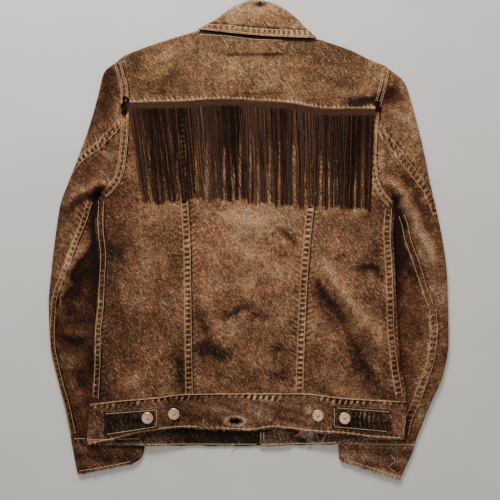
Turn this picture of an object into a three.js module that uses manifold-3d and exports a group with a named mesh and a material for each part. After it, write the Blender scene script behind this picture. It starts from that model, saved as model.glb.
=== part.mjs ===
// A denim trucker jacket laid flat on a surface, face down, so that its back shows.
// Millimetres. +X runs to the wearer's right, +Y towards the collar, +Z up from the surface.
import * as THREE from "three";
import { mergeVertices } from "three/addons/utils/BufferGeometryUtils.js";
import Module from "manifold-3d";

const wasm = await Module();
wasm.setup();

// Cloth and seams
const CLOTH = 1.5; // one layer of denim
const BAND = 2.4; // waistband, cuffs and tabs, which are sewn double
const COLLAR_CLOTH = 1.4;
const SEAM_GAP = 0.3;
const ARMHOLE_INSET = 0.35; // each edge of an armhole stops this far from its curve
const ARMPIT_INSET = 1.0; // and this far where the curve is tight
const LAID_GAP = 0.45; // between a piece and the panel it lies on
const TRIM_GAP = 0.8; // under the fringe, whose strip crosses three panels

// Heights of the middle of each layer above the surface, where nothing lies under it
const FRONT_MID = CLOTH / 2;
const BACK_MID = 4.9;
const BACK_MID_AT_WAIST = 6.0;
const FRONT_BAND_MID = BAND / 2;
const BACK_BAND_MID = 6.7;
const UNDERLAP_LIFT = 2.1; // the right front lies over the left one at the centre
const BAND_UNDERLAP_LIFT = 2.7;
const SLEEVE_STACK = 5.7; // the body lies this high over a sleeve
const COLLAR_STACK = 2.4; // and this high over the collar's front leaf
const LIFT_MARGIN = 10; // the body stays lifted this far past the edge of what lies under it
const LIFT_FADE = 60; // and comes down over this width
const SLEEVE_MID_COVERED = 4.15; // upper layer of a sleeve under the body
const SLEEVE_MID_OPEN = 5.2;
const CUFF_TOP_MID = 4.2;

// Places across the body
const ARMPIT_Y = 62;
const CENTRE_EDGE_RIGHT_FRONT = 14.5;
const CENTRE_EDGE_LEFT_FRONT = 50;
const NECK_LEFT_X = -74;
const NECK_RIGHT_X = 98.6;

const lerp = (from, to, share) => from + (to - from) * share;
const ease = (share) => {
  const t = Math.min(Math.max(share, 0), 1);
  return t * t * (3 - 2 * t);
};
const arch = (share) => 4 * share * (1 - share);

/** A smooth curve through rows of [place, value], which doesn't overshoot between them. */
function graph(rows) {
  const sorted = [...rows].sort((a, b) => a[0] - b[0]);
  const last = sorted.length - 1;
  const secant = (i) => (sorted[i + 1][1] - sorted[i][1]) / (sorted[i + 1][0] - sorted[i][0]);
  const slope = sorted.map((_, i) => {
    if (i === 0) return secant(0);
    if (i === last) return secant(last - 1);
    const before = secant(i - 1);
    const after = secant(i);
    return before * after <= 0 ? 0 : (2 * before * after) / (before + after);
  });
  return (place) => {
    const at = Math.min(Math.max(place, sorted[0][0]), sorted[last][0]);
    let i = 0;
    while (i < last - 1 && at > sorted[i + 1][0]) i += 1;
    const width = sorted[i + 1][0] - sorted[i][0];
    const t = (at - sorted[i][0]) / width;
    const t2 = t * t;
    const t3 = t2 * t;
    return (
      sorted[i][1] * (2 * t3 - 3 * t2 + 1) +
      slope[i] * width * (t3 - 2 * t2 + t) +
      sorted[i + 1][1] * (3 * t2 - 2 * t3) +
      slope[i + 1] * width * (t3 - t2)
    );
  };
}

// Edges of the body, x for each y: the side fold from hem to armpit, then the armhole up to the shoulder
const leftEdge = graph([
  [-297, -235], [-235, -229], [-160, -225], [-87, -220], [-41, -216], [-10, -220], [29, -223],
  [51, -219], [63, -214], [72, -202], [87, -191], [109, -185], [160, -181], [203, -180], [238, -184], [260, -190],
]);
const rightEdge = graph([
  [-291, 224], [-232, 228], [-188, 222], [-145, 219], [-87, 216], [-29, 215], [7, 212], [36, 212],
  [51, 210], [59, 200], [72, 190], [87, 184], [116, 181], [160, 182], [199, 187], [226, 194], [251, 200],
]);
// The two long back seams, x for each y
const leftPrincess = graph([[-222, -87], [-87, -89], [-15, -90], [44, -93], [87, -96], [145, -97], [202, -99]]);
const rightPrincess = graph([[-222, 73], [-87, 78], [-15, 83], [29, 87], [72, 93], [116, 97], [193, 101]]);
// Cross seams and hems, y for each x
const yokeSeam = graph([[-184, 200], [-100, 201.5], [-42, 205], [2, 203], [59, 199], [117, 191], [187, 191]]);
const waistSeam = graph([
  [-230, -237], [-180, -231], [-136, -227.5], [-93, -223], [0, -222], [74, -222], [139, -228], [228, -233],
]);
const backHem = graph([
  [-236, -297], [-199, -290], [-158, -280], [-115, -274], [-93, -273], [0, -277], [38, -273],
  [81, -278], [139, -281], [175, -286], [226, -289],
]);
const frontWaistSeam = graph([[-235, -238], [-150, -246], [0, -252], [117, -247], [228, -235]]);
const frontHem = graph([[-236, -298], [-150, -299], [0, -300], [117, -297], [161, -291.5], [228, -290]]);
const shoulder = graph([
  [-190, 261], [-180, 268], [-158, 277], [-129, 287], [-107, 294], [-86, 300], [NECK_LEFT_X, 303.5],
  [NECK_RIGHT_X, 291.5], [117, 286], [146, 276], [175, 262], [200, 252],
]);
const neckLine = (x) => lerp(303.5, 291.5, (x - NECK_LEFT_X) / (NECK_RIGHT_X - NECK_LEFT_X));
const neckShare = (x) => Math.min(Math.max((x + 66) / 158, 0), 1);
const inNeck = (x) => x > NECK_LEFT_X && x < NECK_RIGHT_X;
const backTop = (x) => (inNeck(x) ? neckLine(x) + 9 * arch(neckShare(x)) : shoulder(x));
const frontTop = (x) => (inNeck(x) ? neckLine(x) - 70 * arch(neckShare(x)) ** 1.5 - 0.7 : shoulder(x));
const frontLeafEdge = (x) => {
  const share = Math.min(Math.max((x - NECK_LEFT_X) / (NECK_RIGHT_X - NECK_LEFT_X), 0), 1);
  return lerp(306, 293, share) - 110 * arch(share) ** 1.5;
};

// Sleeves, one row for each section from armhole to cuff: the two edges of the flattened sleeve, and
// the share of its width, from the outer edge, at which the back seam and the underarm seam cross it
// (below zero: on the side that faces down)
const SLEEVES = {
  left: [
    { outer: [-190.8, 260], inner: [-218, 60], backSeam: 0.6, underSeam: 0.93 },
    { outer: [-210, 244], inner: [-222.5, 50], backSeam: 0.58, underSeam: 0.92 },
    { outer: [-219, 210], inner: [-225.5, 38], backSeam: 0.48, underSeam: 0.88 },
    { outer: [-230, 171], inner: [-226, 24], backSeam: 0.32, underSeam: 0.79 },
    { outer: [-245, 128], inner: [-219, 0], backSeam: 0.11, underSeam: 0.6 },
    { outer: [-261, 87], inner: [-213, -24], backSeam: -0.08, underSeam: 0.44 },
    { outer: [-274, 51], inner: [-206, -56], backSeam: -0.2, underSeam: 0.33 },
    { outer: [-282, 0], inner: [-197, -91], backSeam: -0.3, underSeam: 0.2 },
    { outer: [-287, -44], inner: [-187, -130], backSeam: -0.36, underSeam: 0.12 },
    { outer: [-291, -94], inner: [-174, -170], backSeam: -0.4, underSeam: 0.07 },
    { outer: [-289, -152], inner: [-164, -209], backSeam: -0.42, underSeam: 0.06 },
    { outer: [-278, -203], inner: [-157, -244], backSeam: -0.42, underSeam: 0.06 },
    { outer: [-267, -246], inner: [-154, -271], backSeam: -0.42, underSeam: 0.06 },
    { outer: [-258, -291], inner: [-152, -291], backSeam: -0.42, underSeam: 0.06 },
  ],
  right: [
    { outer: [200.8, 251], inner: [214, 48], backSeam: 0.62, underSeam: 0.94 },
    { outer: [226, 229], inner: [215.8, 41], backSeam: 0.6, underSeam: 0.93 },
    { outer: [236, 199], inner: [216.3, 31], backSeam: 0.56, underSeam: 0.9 },
    { outer: [246, 162], inner: [214.5, 15], backSeam: 0.47, underSeam: 0.83 },
    { outer: [255, 123], inner: [208, -5], backSeam: 0.33, underSeam: 0.71 },
    { outer: [262, 87], inner: [204, -29], backSeam: 0.18, underSeam: 0.6 },
    { outer: [271, 49], inner: [198, -59], backSeam: 0.04, underSeam: 0.5 },
    { outer: [281, 0], inner: [189, -96], backSeam: -0.1, underSeam: 0.37 },
    { outer: [287, -46], inner: [178, -133], backSeam: -0.2, underSeam: 0.26 },
    { outer: [289, -94], inner: [167, -171], backSeam: -0.28, underSeam: 0.18 },
    { outer: [290, -148], inner: [155, -207], backSeam: -0.3, underSeam: 0.15 },
    { outer: [281, -199], inner: [145, -239], backSeam: -0.3, underSeam: 0.16 },
    { outer: [264, -238], inner: [136, -267], backSeam: -0.3, underSeam: 0.15 },
    { outer: [242, -293], inner: [132, -291], backSeam: -0.3, underSeam: 0.13 },
  ],
};
const CUFFS = {
  left: [
    { outer: [-258, -293], inner: [-152, -293] },
    { outer: [-254, -312], inner: [-154.5, -309] },
    { outer: [-251, -329], inner: [-160, -319] },
    { outer: [-248, -341], inner: [-170, -325] },
  ],
  right: [
    { outer: [242, -295], inner: [132, -293] },
    { outer: [237, -309], inner: [132, -303] },
    { outer: [228, -329], inner: [132, -313] },
    { outer: [219, -349], inner: [133, -321] },
  ],
};
const armpitToCuff = (side) => graph(SLEEVES[side].slice(4).map((row) => [row.inner[1], row.inner[0]]));
const leftSleeveInner = armpitToCuff("left");
const rightSleeveInner = armpitToCuff("right");

// Large folds: each a ridge along a path, its height, and its width on the left and on the right of the path
const FOLDS = [
  { path: [[-196, 84], [-223, 76], [-240, 70], [-257, 58], [-266, 40]], height: 9, left: 10, right: 16 },
  {
    path: [[-222, 18], [-233, -7], [-250, -28], [-265, -51], [-273, -80], [-284, -106]],
    height: 8, left: 9, right: 20,
  },
  { path: [[192, 88], [212, 74], [224, 62], [233, 42], [246, 8], [263, -20], [278, -66]], height: 10, left: 18, right: 9 },
  { path: [[103, -22], [125, -65], [154, -101], [183, -138], [197, -174]], height: 4.5, left: 16, right: 12 },
  { path: [[-60, -128], [-20, -120], [10, -100], [36, -112]], height: 2.5, left: 12, right: 12 },
  { path: [[-80, 20], [-30, -10], [40, -40]], height: 2, left: 18, right: 18 },
  { path: [[-272, -140], [-262, -180], [-256, -225]], height: 3, left: 14, right: 14 },
  { path: [[272, -120], [262, -170], [250, -215]], height: 3, left: 14, right: 14 },
];

/** Height that one fold adds at a place: full along its path, none at its ends and past its widths. */
function ridge(fold, x, y) {
  let best = { distance: Infinity, side: 1, along: 0 };
  const stretches = fold.path.length - 1;
  for (let i = 0; i < stretches; i += 1) {
    const [ax, ay] = fold.path[i];
    const [bx, by] = fold.path[i + 1];
    const [dx, dy] = [bx - ax, by - ay];
    const t = Math.min(Math.max(((x - ax) * dx + (y - ay) * dy) / (dx * dx + dy * dy), 0), 1);
    const distance = Math.hypot(x - ax - dx * t, y - ay - dy * t);
    if (distance < best.distance) {
      best = { distance, side: Math.sign(dx * (y - ay) - dy * (x - ax)), along: (i + t) / stretches };
    }
  }
  const width = best.side > 0 ? fold.left : fold.right;
  const fade = Math.min(1, arch(best.along) * 2.2);
  return fold.height * fade * ease(1 - best.distance / width);
}
const foldHeight = (x, y) => FOLDS.reduce((sum, fold) => sum + ridge(fold, x, y), 0);

/** How far the sleeves and the collar's front leaf hold the body up. */
function bodyLift(x, y) {
  const below = ease((55 - y) / 50);
  const overLeft = 1 - ease((x - leftSleeveInner(y) - LIFT_MARGIN) / LIFT_FADE);
  const overRight = 1 - ease((rightSleeveInner(y) - x - LIFT_MARGIN) / LIFT_FADE);
  const overLeaf = ease((y - frontLeafEdge(x) + LIFT_MARGIN + LIFT_FADE) / LIFT_FADE);
  return SLEEVE_STACK * below * Math.max(overLeft, overRight) + COLLAR_STACK * overLeaf;
}

const armholeInset = (y) => lerp(ARMPIT_INSET, ARMHOLE_INSET, ease((y - 75) / 40)) * ease((y - 34) / 12);
const bodyLeft = (y) => leftEdge(y) + armholeInset(y);
const bodyRight = (y) => rightEdge(y) - armholeInset(y);

/** Distance in from the folded outline of the body: its sides below the armpit and its shoulders. */
function inFromOutline(x, y) {
  const sides = y < ARMPIT_Y ? Math.min(x - bodyLeft(y), bodyRight(y) - x) : Infinity;
  const shoulders = inNeck(x) ? Infinity : shoulder(x) - y;
  return Math.max(0, Math.min(sides, shoulders));
}

/** Part of a fold's half height that a layer has gained at a distance in from the outline. */
function rolled(distance, halfHeight) {
  const share = Math.min(distance / halfHeight, 1);
  return halfHeight * Math.sqrt(1 - (1 - share) ** 2);
}
const OUTLINE_OFFSET = 0.6; // each layer stops this far from the middle of the fold

function layerHeight(x, y, upperMid, lowerMid, wanted) {
  const middle = (upperMid + lowerMid) / 2;
  const rise = Math.max(OUTLINE_OFFSET, rolled(inFromOutline(x, y), (upperMid - lowerMid) / 2));
  return wanted === "upper" ? middle + rise : middle - rise;
}

function backMid(x, y) {
  const base = lerp(BACK_MID, BACK_MID_AT_WAIST, ease((-185 - y) / 38));
  const puff = 1.2 * ease((inFromOutline(x, y) - 4) / 40) * ease((y + 215) / 60);
  return base + bodyLift(x, y) + (inNeck(x) && y > 200 ? 0 : puff) + foldHeight(x, y);
}
const frontMid = (x, y) => FRONT_MID + bodyLift(x, y);
const backHeight = (x, y) => layerHeight(x, y, backMid(x, y), frontMid(x, y), "upper");
const bandLower = (x, y) => FRONT_BAND_MID + bodyLift(x, y);
const bandUpper = (x, y) => BACK_BAND_MID + bodyLift(x, y);
const backBandHeight = (x, y) => layerHeight(x, y, bandUpper(x, y), bandLower(x, y), "upper");
const underlap = (x, lift) => lift * ease((66 - x) / 12);

/** A closed wall of cloth around a grid of middle points, closed round its columns if it is a ring. */
function clothWall(grid, thickness, ring = false, normals = null) {
  const rows = grid.length;
  const columns = grid[0].length;
  const wrap = (j) => (ring ? (j + columns) % columns : Math.min(Math.max(j, 0), columns - 1));
  const clamp = (i) => Math.min(Math.max(i, 0), rows - 1);
  const outer = [];
  const inner = [];
  for (let i = 0; i < rows; i += 1) {
    for (let j = 0; j < columns; j += 1) {
      const across = grid[i][wrap(j + 1)].clone().sub(grid[i][wrap(j - 1)]);
      const along = grid[clamp(i + 1)][j].clone().sub(grid[clamp(i - 1)][j]);
      const normal = normals ? normals[i][j] : across.cross(along).normalize();
      outer.push(grid[i][j].clone().addScaledVector(normal, thickness / 2));
      inner.push(grid[i][j].clone().addScaledVector(normal, -thickness / 2));
    }
  }
  const index = (i, j) => i * columns + wrap(j);
  const shift = outer.length;
  const faces = [];
  const quad = (a, b, c, d) => faces.push(a, b, c, a, c, d);
  const lastColumn = ring ? columns : columns - 1;
  for (let i = 0; i < rows - 1; i += 1) {
    for (let j = 0; j < lastColumn; j += 1) {
      quad(index(i, j), index(i, j + 1), index(i + 1, j + 1), index(i + 1, j));
      const under = [index(i, j), index(i + 1, j), index(i + 1, j + 1), index(i, j + 1)];
      quad(...under.map((k) => shift + k));
    }
  }
  for (let j = 0; j < lastColumn; j += 1) {
    quad(index(0, j), shift + index(0, j), shift + index(0, j + 1), index(0, j + 1));
    const [here, next] = [index(rows - 1, j), index(rows - 1, j + 1)];
    quad(here, next, shift + next, shift + here);
  }
  if (!ring) {
    for (let i = 0; i < rows - 1; i += 1) {
      quad(index(i, 0), index(i + 1, 0), shift + index(i + 1, 0), shift + index(i, 0));
      const [here, next] = [index(i, columns - 1), index(i + 1, columns - 1)];
      quad(here, shift + here, shift + next, next);
    }
  }
  const points = [...outer, ...inner];
  return indexed(points.flatMap((p) => [p.x, p.y, p.z]), faces);
}

function indexed(positions, faces) {
  const geometry = new THREE.BufferGeometry();
  geometry.setAttribute("position", new THREE.Float32BufferAttribute(positions, 3));
  geometry.setIndex(facingOut(positions, faces));
  geometry.computeVertexNormals();
  return geometry;
}

/** The same faces, all turned round if they enclose a negative volume. */
function facingOut(positions, faces) {
  const corner = (i) => new THREE.Vector3().fromArray(positions, faces[i] * 3);
  let volume = 0;
  for (let i = 0; i < faces.length; i += 3) {
    volume += corner(i).dot(corner(i + 1).cross(corner(i + 2)));
  }
  if (volume > 0) return faces;
  const turned = [];
  for (let i = 0; i < faces.length; i += 3) turned.push(faces[i], faces[i + 2], faces[i + 1]);
  return turned;
}

/** Shares from 0 to 1 in even steps, with extra ones near an end that rolls over a fold. */
function shares(steps, length, rollAtStart, rollAtEnd, radius = 2.2) {
  const near = [0, 0.1, 0.4, 1].map((part) => (part * radius) / length);
  const start = rollAtStart ? near : [0];
  const end = rollAtEnd ? near.map((part) => 1 - part).reverse() : [1];
  const from = start[start.length - 1];
  const to = end[0];
  const middle = Array.from({ length: steps - 1 }, (_, i) => lerp(from, to, (i + 1) / steps));
  return [...start, ...middle, ...end];
}

/** The same shares with closer ones round the armpit, where the edge curves and the body rises. */
function withArmpitRows(even, bottomY, topY) {
  const extra = [98, 86, 78, 71, 65, 58, 46, 34, 22, 10, -4].map((y) => (y - bottomY) / (topY - bottomY));
  const apart = 0.6 / even.length;
  const clear = (share) => extra.every((other) => Math.abs(other - share) > apart / 2);
  const kept = even.filter((share) => share === 0 || clear(share));
  return [...kept, ...extra].sort((a, b) => a - b);
}

/** Middle points of a panel that lies between four edges. */
function panelGrid(panel) {
  return panel.rows.map((v) =>
    panel.columns.map((u) => {
      let [x, y] = [0, 0];
      for (let pass = 0; pass < 8; pass += 1) {
        y = lerp(panel.bottom(x) + SEAM_GAP / 2, panel.top(x) - SEAM_GAP / 2, v);
        x = lerp(panel.left(y), panel.right(y), u);
      }
      return new THREE.Vector3(x, y, panel.height(x, y));
    }),
  );
}
const inset = (edge, by) => (place) => edge(place) + by;
const always = (value) => () => value;

const jacket = new THREE.Group();

const denim = (colour, roughness = 0.9) =>
  new THREE.MeshStandardMaterial({ color: new THREE.Color(...colour), roughness, metalness: 0 });
const wornDenim = denim([0.2, 0.12, 0.08]);
const darkDenim = denim([0.06, 0.035, 0.025]);
const trimCloth = denim([0.09, 0.055, 0.04]);
const buttonMetal = new THREE.MeshStandardMaterial({ color: 0xc9a27e, roughness: 0.35, metalness: 1 });

function addPiece(name, geometry, material) {
  const piece = new THREE.Mesh(geometry, material);
  piece.name = name;
  jacket.add(piece);
}

function addBackPanels() {
  const seam = SEAM_GAP / 2;
  const yoke = {
    rows: shares(5, 60, false, true),
    columns: shares(18, 370, false, false),
    bottom: yokeSeam,
    top: backTop,
    left: bodyLeft,
    right: bodyRight,
    height: backHeight,
  };
  const below = { bottom: inset(waistSeam, seam), top: yokeSeam, height: backHeight };
  const evenRows = shares(19, 420, false, false);
  const sideRows = withArmpitRows(shares(15, 420, false, false), -235, 198);
  const centre = {
    ...below,
    rows: evenRows,
    columns: shares(9, 170, false, false),
    left: inset(leftPrincess, seam),
    right: inset(rightPrincess, -seam),
  };
  const left = {
    ...below,
    rows: sideRows,
    columns: shares(6, 125, true, false),
    left: bodyLeft,
    right: inset(leftPrincess, -seam),
  };
  const right = {
    ...below,
    rows: sideRows,
    columns: shares(7, 125, false, true),
    left: inset(rightPrincess, seam),
    right: bodyRight,
  };
  addPiece("back_yoke", clothWall(panelGrid(yoke), CLOTH), wornDenim);
  addPiece("back_centre", clothWall(panelGrid(centre), CLOTH), wornDenim);
  addPiece("back_side_left", clothWall(panelGrid(left), CLOTH), wornDenim);
  addPiece("back_side_right", clothWall(panelGrid(right), CLOTH), wornDenim);
}

/** The ragged hole in the waistband, as a prism to cut away. */
function ripPrism() {
  const rim = [
    [-31, -264], [-27, -260.5], [-19, -259.5], [-11, -261], [-8, -265], [-12, -269], [-20, -270.5], [-28, -268.5],
  ];
  const shape = new THREE.Shape(rim.map(([x, y]) => new THREE.Vector2(x, y)));
  return new THREE.ExtrudeGeometry(shape, { depth: 12, bevelEnabled: false });
}

function addBackWaistband() {
  const band = {
    rows: shares(3, 50, false, false),
    columns: shares(28, 455, true, true, 2.75),
    bottom: backHem,
    top: waistSeam,
    left: leftEdge,
    right: rightEdge,
    height: backBandHeight,
  };
  const whole = solid(clothWall(panelGrid(band), BAND));
  addPiece("back_waistband", fromSolid(whole.subtract(solid(ripPrism()))), wornDenim);
}

/** A geometry as a solid that can be joined to others and cut. */
function solid(geometry) {
  const plain = geometry.clone();
  plain.deleteAttribute("normal");
  plain.deleteAttribute("uv");
  const merged = mergeVertices(plain, 1e-4);
  const vertProperties = new Float32Array(merged.attributes.position.array);
  const triVerts = new Uint32Array(merged.index.array);
  return new wasm.Manifold(new wasm.Mesh({ numProp: 3, vertProperties, triVerts }));
}

function fromSolid(manifold) {
  const { vertProperties, triVerts, numProp } = manifold.getMesh();
  const positions = [];
  for (let i = 0; i < vertProperties.length; i += numProp) {
    positions.push(vertProperties[i], vertProperties[i + 1], vertProperties[i + 2]);
  }
  return indexed(positions, Array.from(triVerts));
}

function addFronts() {
  const rows = withArmpitRows(shares(12, 520, false, true), -238, 261);
  const layer = { rows, bottom: frontWaistSeam, top: frontTop };
  const lower = (x, y) => layerHeight(x, y, backMid(x, y), frontMid(x, y), "lower");
  const left = {
    ...layer,
    columns: shares(12, 260, true, false),
    left: bodyLeft,
    right: always(CENTRE_EDGE_LEFT_FRONT),
    height: lower,
  };
  const right = {
    ...layer,
    columns: shares(10, 200, false, true),
    left: always(CENTRE_EDGE_RIGHT_FRONT),
    right: bodyRight,
    height: (x, y) => lower(x, y) + underlap(x, UNDERLAP_LIFT),
  };
  addPiece("front_left", clothWall(panelGrid(left), CLOTH), wornDenim);
  addPiece("front_right", clothWall(panelGrid(right), CLOTH), wornDenim);
}

function addFrontWaistbands() {
  const band = { rows: shares(3, 50, false, false), bottom: frontHem, top: frontWaistSeam };
  const lower = (x, y) => layerHeight(x, y, bandUpper(x, y), bandLower(x, y), "lower");
  const left = {
    ...band,
    columns: shares(12, 280, true, false, 2.75),
    left: leftEdge,
    right: always(CENTRE_EDGE_LEFT_FRONT),
    height: lower,
  };
  const right = {
    ...band,
    columns: shares(12, 210, false, true, 2.75),
    left: always(CENTRE_EDGE_RIGHT_FRONT),
    right: rightEdge,
    height: (x, y) => lower(x, y) + underlap(x, BAND_UNDERLAP_LIFT),
  };
  addPiece("front_waistband_left", clothWall(panelGrid(left), BAND), wornDenim);
  addPiece("front_waistband_right", clothWall(panelGrid(right), BAND), wornDenim);
}

// Sleeves
const SLEEVE_STEPS = 21;
const ROLL_SHARE = 0.13; // part of one side's columns that goes round each edge

/** One section of a tube between two rows: edges and seams at a step along it. */
function tubeRow(rows, step) {
  const place = step * (rows.length - 1);
  const column = (read) => graph(rows.map((row, i) => [i, read(row)]))(place);
  return {
    outer: [column((row) => row.outer[0]), column((row) => row.outer[1])],
    inner: [column((row) => row.inner[0]), column((row) => row.inner[1])],
    backSeam: column((row) => row.backSeam ?? 0),
    underSeam: column((row) => row.underSeam ?? 0),
  };
}

const INNER_CROWDING = 1.4; // above 1: columns lie closer together towards the inner edge

/** Turn round a flattened tube (0 to 1, from the outer edge over the top) for a share of its width. */
function turnAt(share) {
  const flat = 1 - (1 - Math.abs(share)) ** (1 / INNER_CROWDING);
  return (share < 0 ? -0.5 : 0.5) * lerp(ROLL_SHARE, 1 - ROLL_SHARE, flat);
}

/** Place across a section and part of the half height gained, for a turn round it. */
function aroundSection(turn, width, radius) {
  const t = ((turn % 1) + 1) % 1;
  const upper = t <= 0.5;
  const q = upper ? t / 0.5 : (1 - t) / 0.5;
  const half = (share) => (share / ROLL_SHARE) * (Math.PI / 2);
  if (q < ROLL_SHARE) {
    return { distance: radius * (1 - Math.cos(half(q))), gained: Math.sin(half(q)), upper };
  }
  if (q > 1 - ROLL_SHARE) {
    return { distance: width - radius * (1 - Math.cos(half(1 - q))), gained: Math.sin(half(1 - q)), upper };
  }
  const flat = 1 - (1 - (q - ROLL_SHARE) / (1 - 2 * ROLL_SHARE)) ** INNER_CROWDING;
  return { distance: lerp(radius, width - radius, flat), gained: 1, upper };
}

/** 1 where a sleeve lies under the body or close beside it, 0 away from it. */
function coverage(side, x, y) {
  const outside = side === "left" ? leftEdge(y) - x : x - rightEdge(y);
  return ease((28 - outside) / 16) * ease((50 - y) / 20);
}

function sleevePoint(side, step, turn) {
  const row = tubeRow(SLEEVES[side], step);
  const width = Math.hypot(row.inner[0] - row.outer[0], row.inner[1] - row.outer[1]);
  const { distance, gained, upper } = aroundSection(turn, width, 2.2);
  const share = distance / width;
  const y = lerp(row.outer[1], row.inner[1], share);
  let x = lerp(row.outer[0], row.inner[0], share);
  const first = SLEEVES[side][0];
  const armholeY = lerp(first.outer[1], first.inner[1], share);
  const gap = armholeInset(armholeY);
  const edge = side === "left" ? leftEdge(armholeY) - gap : rightEdge(armholeY) + gap;
  const bow = Math.max(0, 1 - step * 5) ** 2;
  x += bow * (edge - lerp(first.outer[0], first.inner[0], share)) * Math.min(1, arch(share) * 12);
  const open = 1 - coverage(side, x, y);
  const puff = 2.4 * Math.min(1, arch(share) * 2) * ease(step * 6) * ease((1 - step) * 8);
  const top = SLEEVE_MID_COVERED + open * (SLEEVE_MID_OPEN - SLEEVE_MID_COVERED + puff + foldHeight(x, y));
  const middle = (top + FRONT_MID) / 2;
  const rise = ((top - FRONT_MID) / 2) * gained;
  return new THREE.Vector3(x, y, upper ? middle + rise : middle - rise);
}

/** Half a seam's gap as a turn round the sleeve. */
function seamTurn(side, step, turn) {
  const nearby = 0.003;
  const travelled = sleevePoint(side, step, turn).distanceTo(sleevePoint(side, step, turn + nearby));
  return ((SEAM_GAP / 2 + 0.12) * nearby) / travelled;
}

/** Places on a sleeve piece, from one seam round to the other. */
function sleevePlaces(side, fromSeam, toSeam, columns) {
  return Array.from({ length: SLEEVE_STEPS + 1 }, (_, i) => {
    const step = i / SLEEVE_STEPS;
    const row = tubeRow(SLEEVES[side], step);
    const from = fromSeam(row) + seamTurn(side, step, fromSeam(row));
    const to = toSeam(row) - seamTurn(side, step, toSeam(row));
    return columns.map((u) => ({ step, turn: lerp(from, to, u) }));
  });
}

/** Direction out of a sleeve's surface, the same on both sides of a seam. */
function sleeveNormal(side, step, turn) {
  const turnStep = 0.01;
  const lengthStep = 0.4 / SLEEVE_STEPS;
  const before = Math.max(0, step - lengthStep);
  const after = Math.min(1, step + lengthStep);
  const across = sleevePoint(side, step, turn + turnStep).sub(sleevePoint(side, step, turn - turnStep));
  const along = sleevePoint(side, after, turn).sub(sleevePoint(side, before, turn));
  return across.cross(along).normalize();
}

function sleeveWall(side, places) {
  const each = (read) => places.map((row) => row.map(({ step, turn }) => read(side, step, turn)));
  return clothWall(each(sleevePoint), CLOTH, false, each(sleeveNormal));
}

function addSleeve(side) {
  const backSeam = (row) => turnAt(row.backSeam);
  const underSeam = (row) => turnAt(row.underSeam);
  const under = sleevePlaces(side, backSeam, underSeam, shares(7, 1, false, false));
  const top = sleevePlaces(side, underSeam, (row) => 1 + backSeam(row), shares(17, 1, false, false));
  addPiece(`sleeve_under_${side}`, sleeveWall(side, under), wornDenim);
  addPiece(`sleeve_top_${side}`, sleeveWall(side, top), wornDenim);
}

/** A wall through the points of a surface that is given by its rows and the turn along each. */
function wallThrough(point, rows, turns, thickness, ring) {
  const nearby = 0.003;
  const last = rows.length - 1;
  const grid = rows.map((row) => turns.map((turn) => point(row, turn)));
  const normals = rows.map((row, i) =>
    turns.map((turn) => {
      const across = point(row, turn + nearby).sub(point(row, turn - nearby));
      const along = point(rows[Math.min(last, i + 1)], turn).sub(point(rows[Math.max(0, i - 1)], turn));
      return across.cross(along).normalize();
    }),
  );
  return clothWall(grid, thickness, ring, normals);
}

const CUFF_STEPS = 3;
const CUFF_COLUMNS = 28;
const CUFF_ROLL_RADIUS = 2.6;

function cuffPoint(row, turn) {
  const width = Math.hypot(row.inner[0] - row.outer[0], row.inner[1] - row.outer[1]);
  const { distance, gained, upper } = aroundSection(turn, width, CUFF_ROLL_RADIUS);
  const middle = (CUFF_TOP_MID + BAND / 2) / 2;
  const rise = ((CUFF_TOP_MID - BAND / 2) / 2) * gained;
  const share = distance / width;
  return new THREE.Vector3(
    lerp(row.outer[0], row.inner[0], share),
    lerp(row.outer[1], row.inner[1], share),
    upper ? middle + rise : middle - rise,
  );
}

function addCuff(side) {
  const rows = Array.from({ length: CUFF_STEPS + 1 }, (_, i) => tubeRow(CUFFS[side], i / CUFF_STEPS));
  const turns = Array.from({ length: CUFF_COLUMNS }, (_, j) => j / CUFF_COLUMNS);
  addPiece(`cuff_${side}`, wallThrough(cuffPoint, rows, turns, BAND, true), wornDenim);
}

// Collar: one strip that stands up from the neck line, folds over and comes down as the leaf. Each level of
// it, from the neck line to the leaf's edge, has how far it reaches left and right, the height of its ends up
// the jacket, and how far its back and its front depart from a straight line between them
const STAND_FOOT = { left: -66, right: 92, leftY: 305.5, rightY: 294, backRise: 8, frontDrop: 70 };
const STAND_TOP = { left: -40, right: 75, leftY: 321, rightY: 310, backRise: 30, frontDrop: 51 };
const LEAF_TOP = { left: -43, right: 78, leftY: 321.8, rightY: 311, backRise: 29, frontDrop: 52 };
const LEAF_MIDDLE = { left: -59, right: 89, leftY: 314, rightY: 302.5, backRise: 13, frontDrop: 77 };
const LEAF_EDGE = { left: -74, right: 98.6, leftY: 306.5, rightY: 293.5, backRise: -3, frontDrop: 110 };
const COLLAR_STAND_HALF = 1.5; // half heights of the flattened stand and of the leaf round it
const COLLAR_LEAF_HALF = 4.35;
const COLLAR_MID = 5.15;
const COLLAR_FOLD_STEPS = 6;
const COLLAR_FOLD_RISE = 1.7; // the fold stands this far past the top of both
const COLLAR_ROLL_STRETCH = 2; // its sides run aslant, so a roll is that much wider across than high
const COLLAR_COLUMNS = 34;

/** A level of the fold, by how much of it has been passed. */
function foldLevel(past) {
  const between = (key) => lerp(STAND_TOP[key], LEAF_TOP[key], (1 - Math.cos(Math.PI * past)) / 2);
  return { ...Object.fromEntries(Object.keys(STAND_TOP).map((key) => [key, between(key)])), past };
}
const COLLAR_LEVELS = [
  { ...STAND_FOOT, past: 0 },
  ...Array.from({ length: COLLAR_FOLD_STEPS + 1 }, (_, i) => foldLevel(i / COLLAR_FOLD_STEPS)),
  { ...LEAF_MIDDLE, past: 1 },
  { ...LEAF_EDGE, past: 1 },
];

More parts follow.
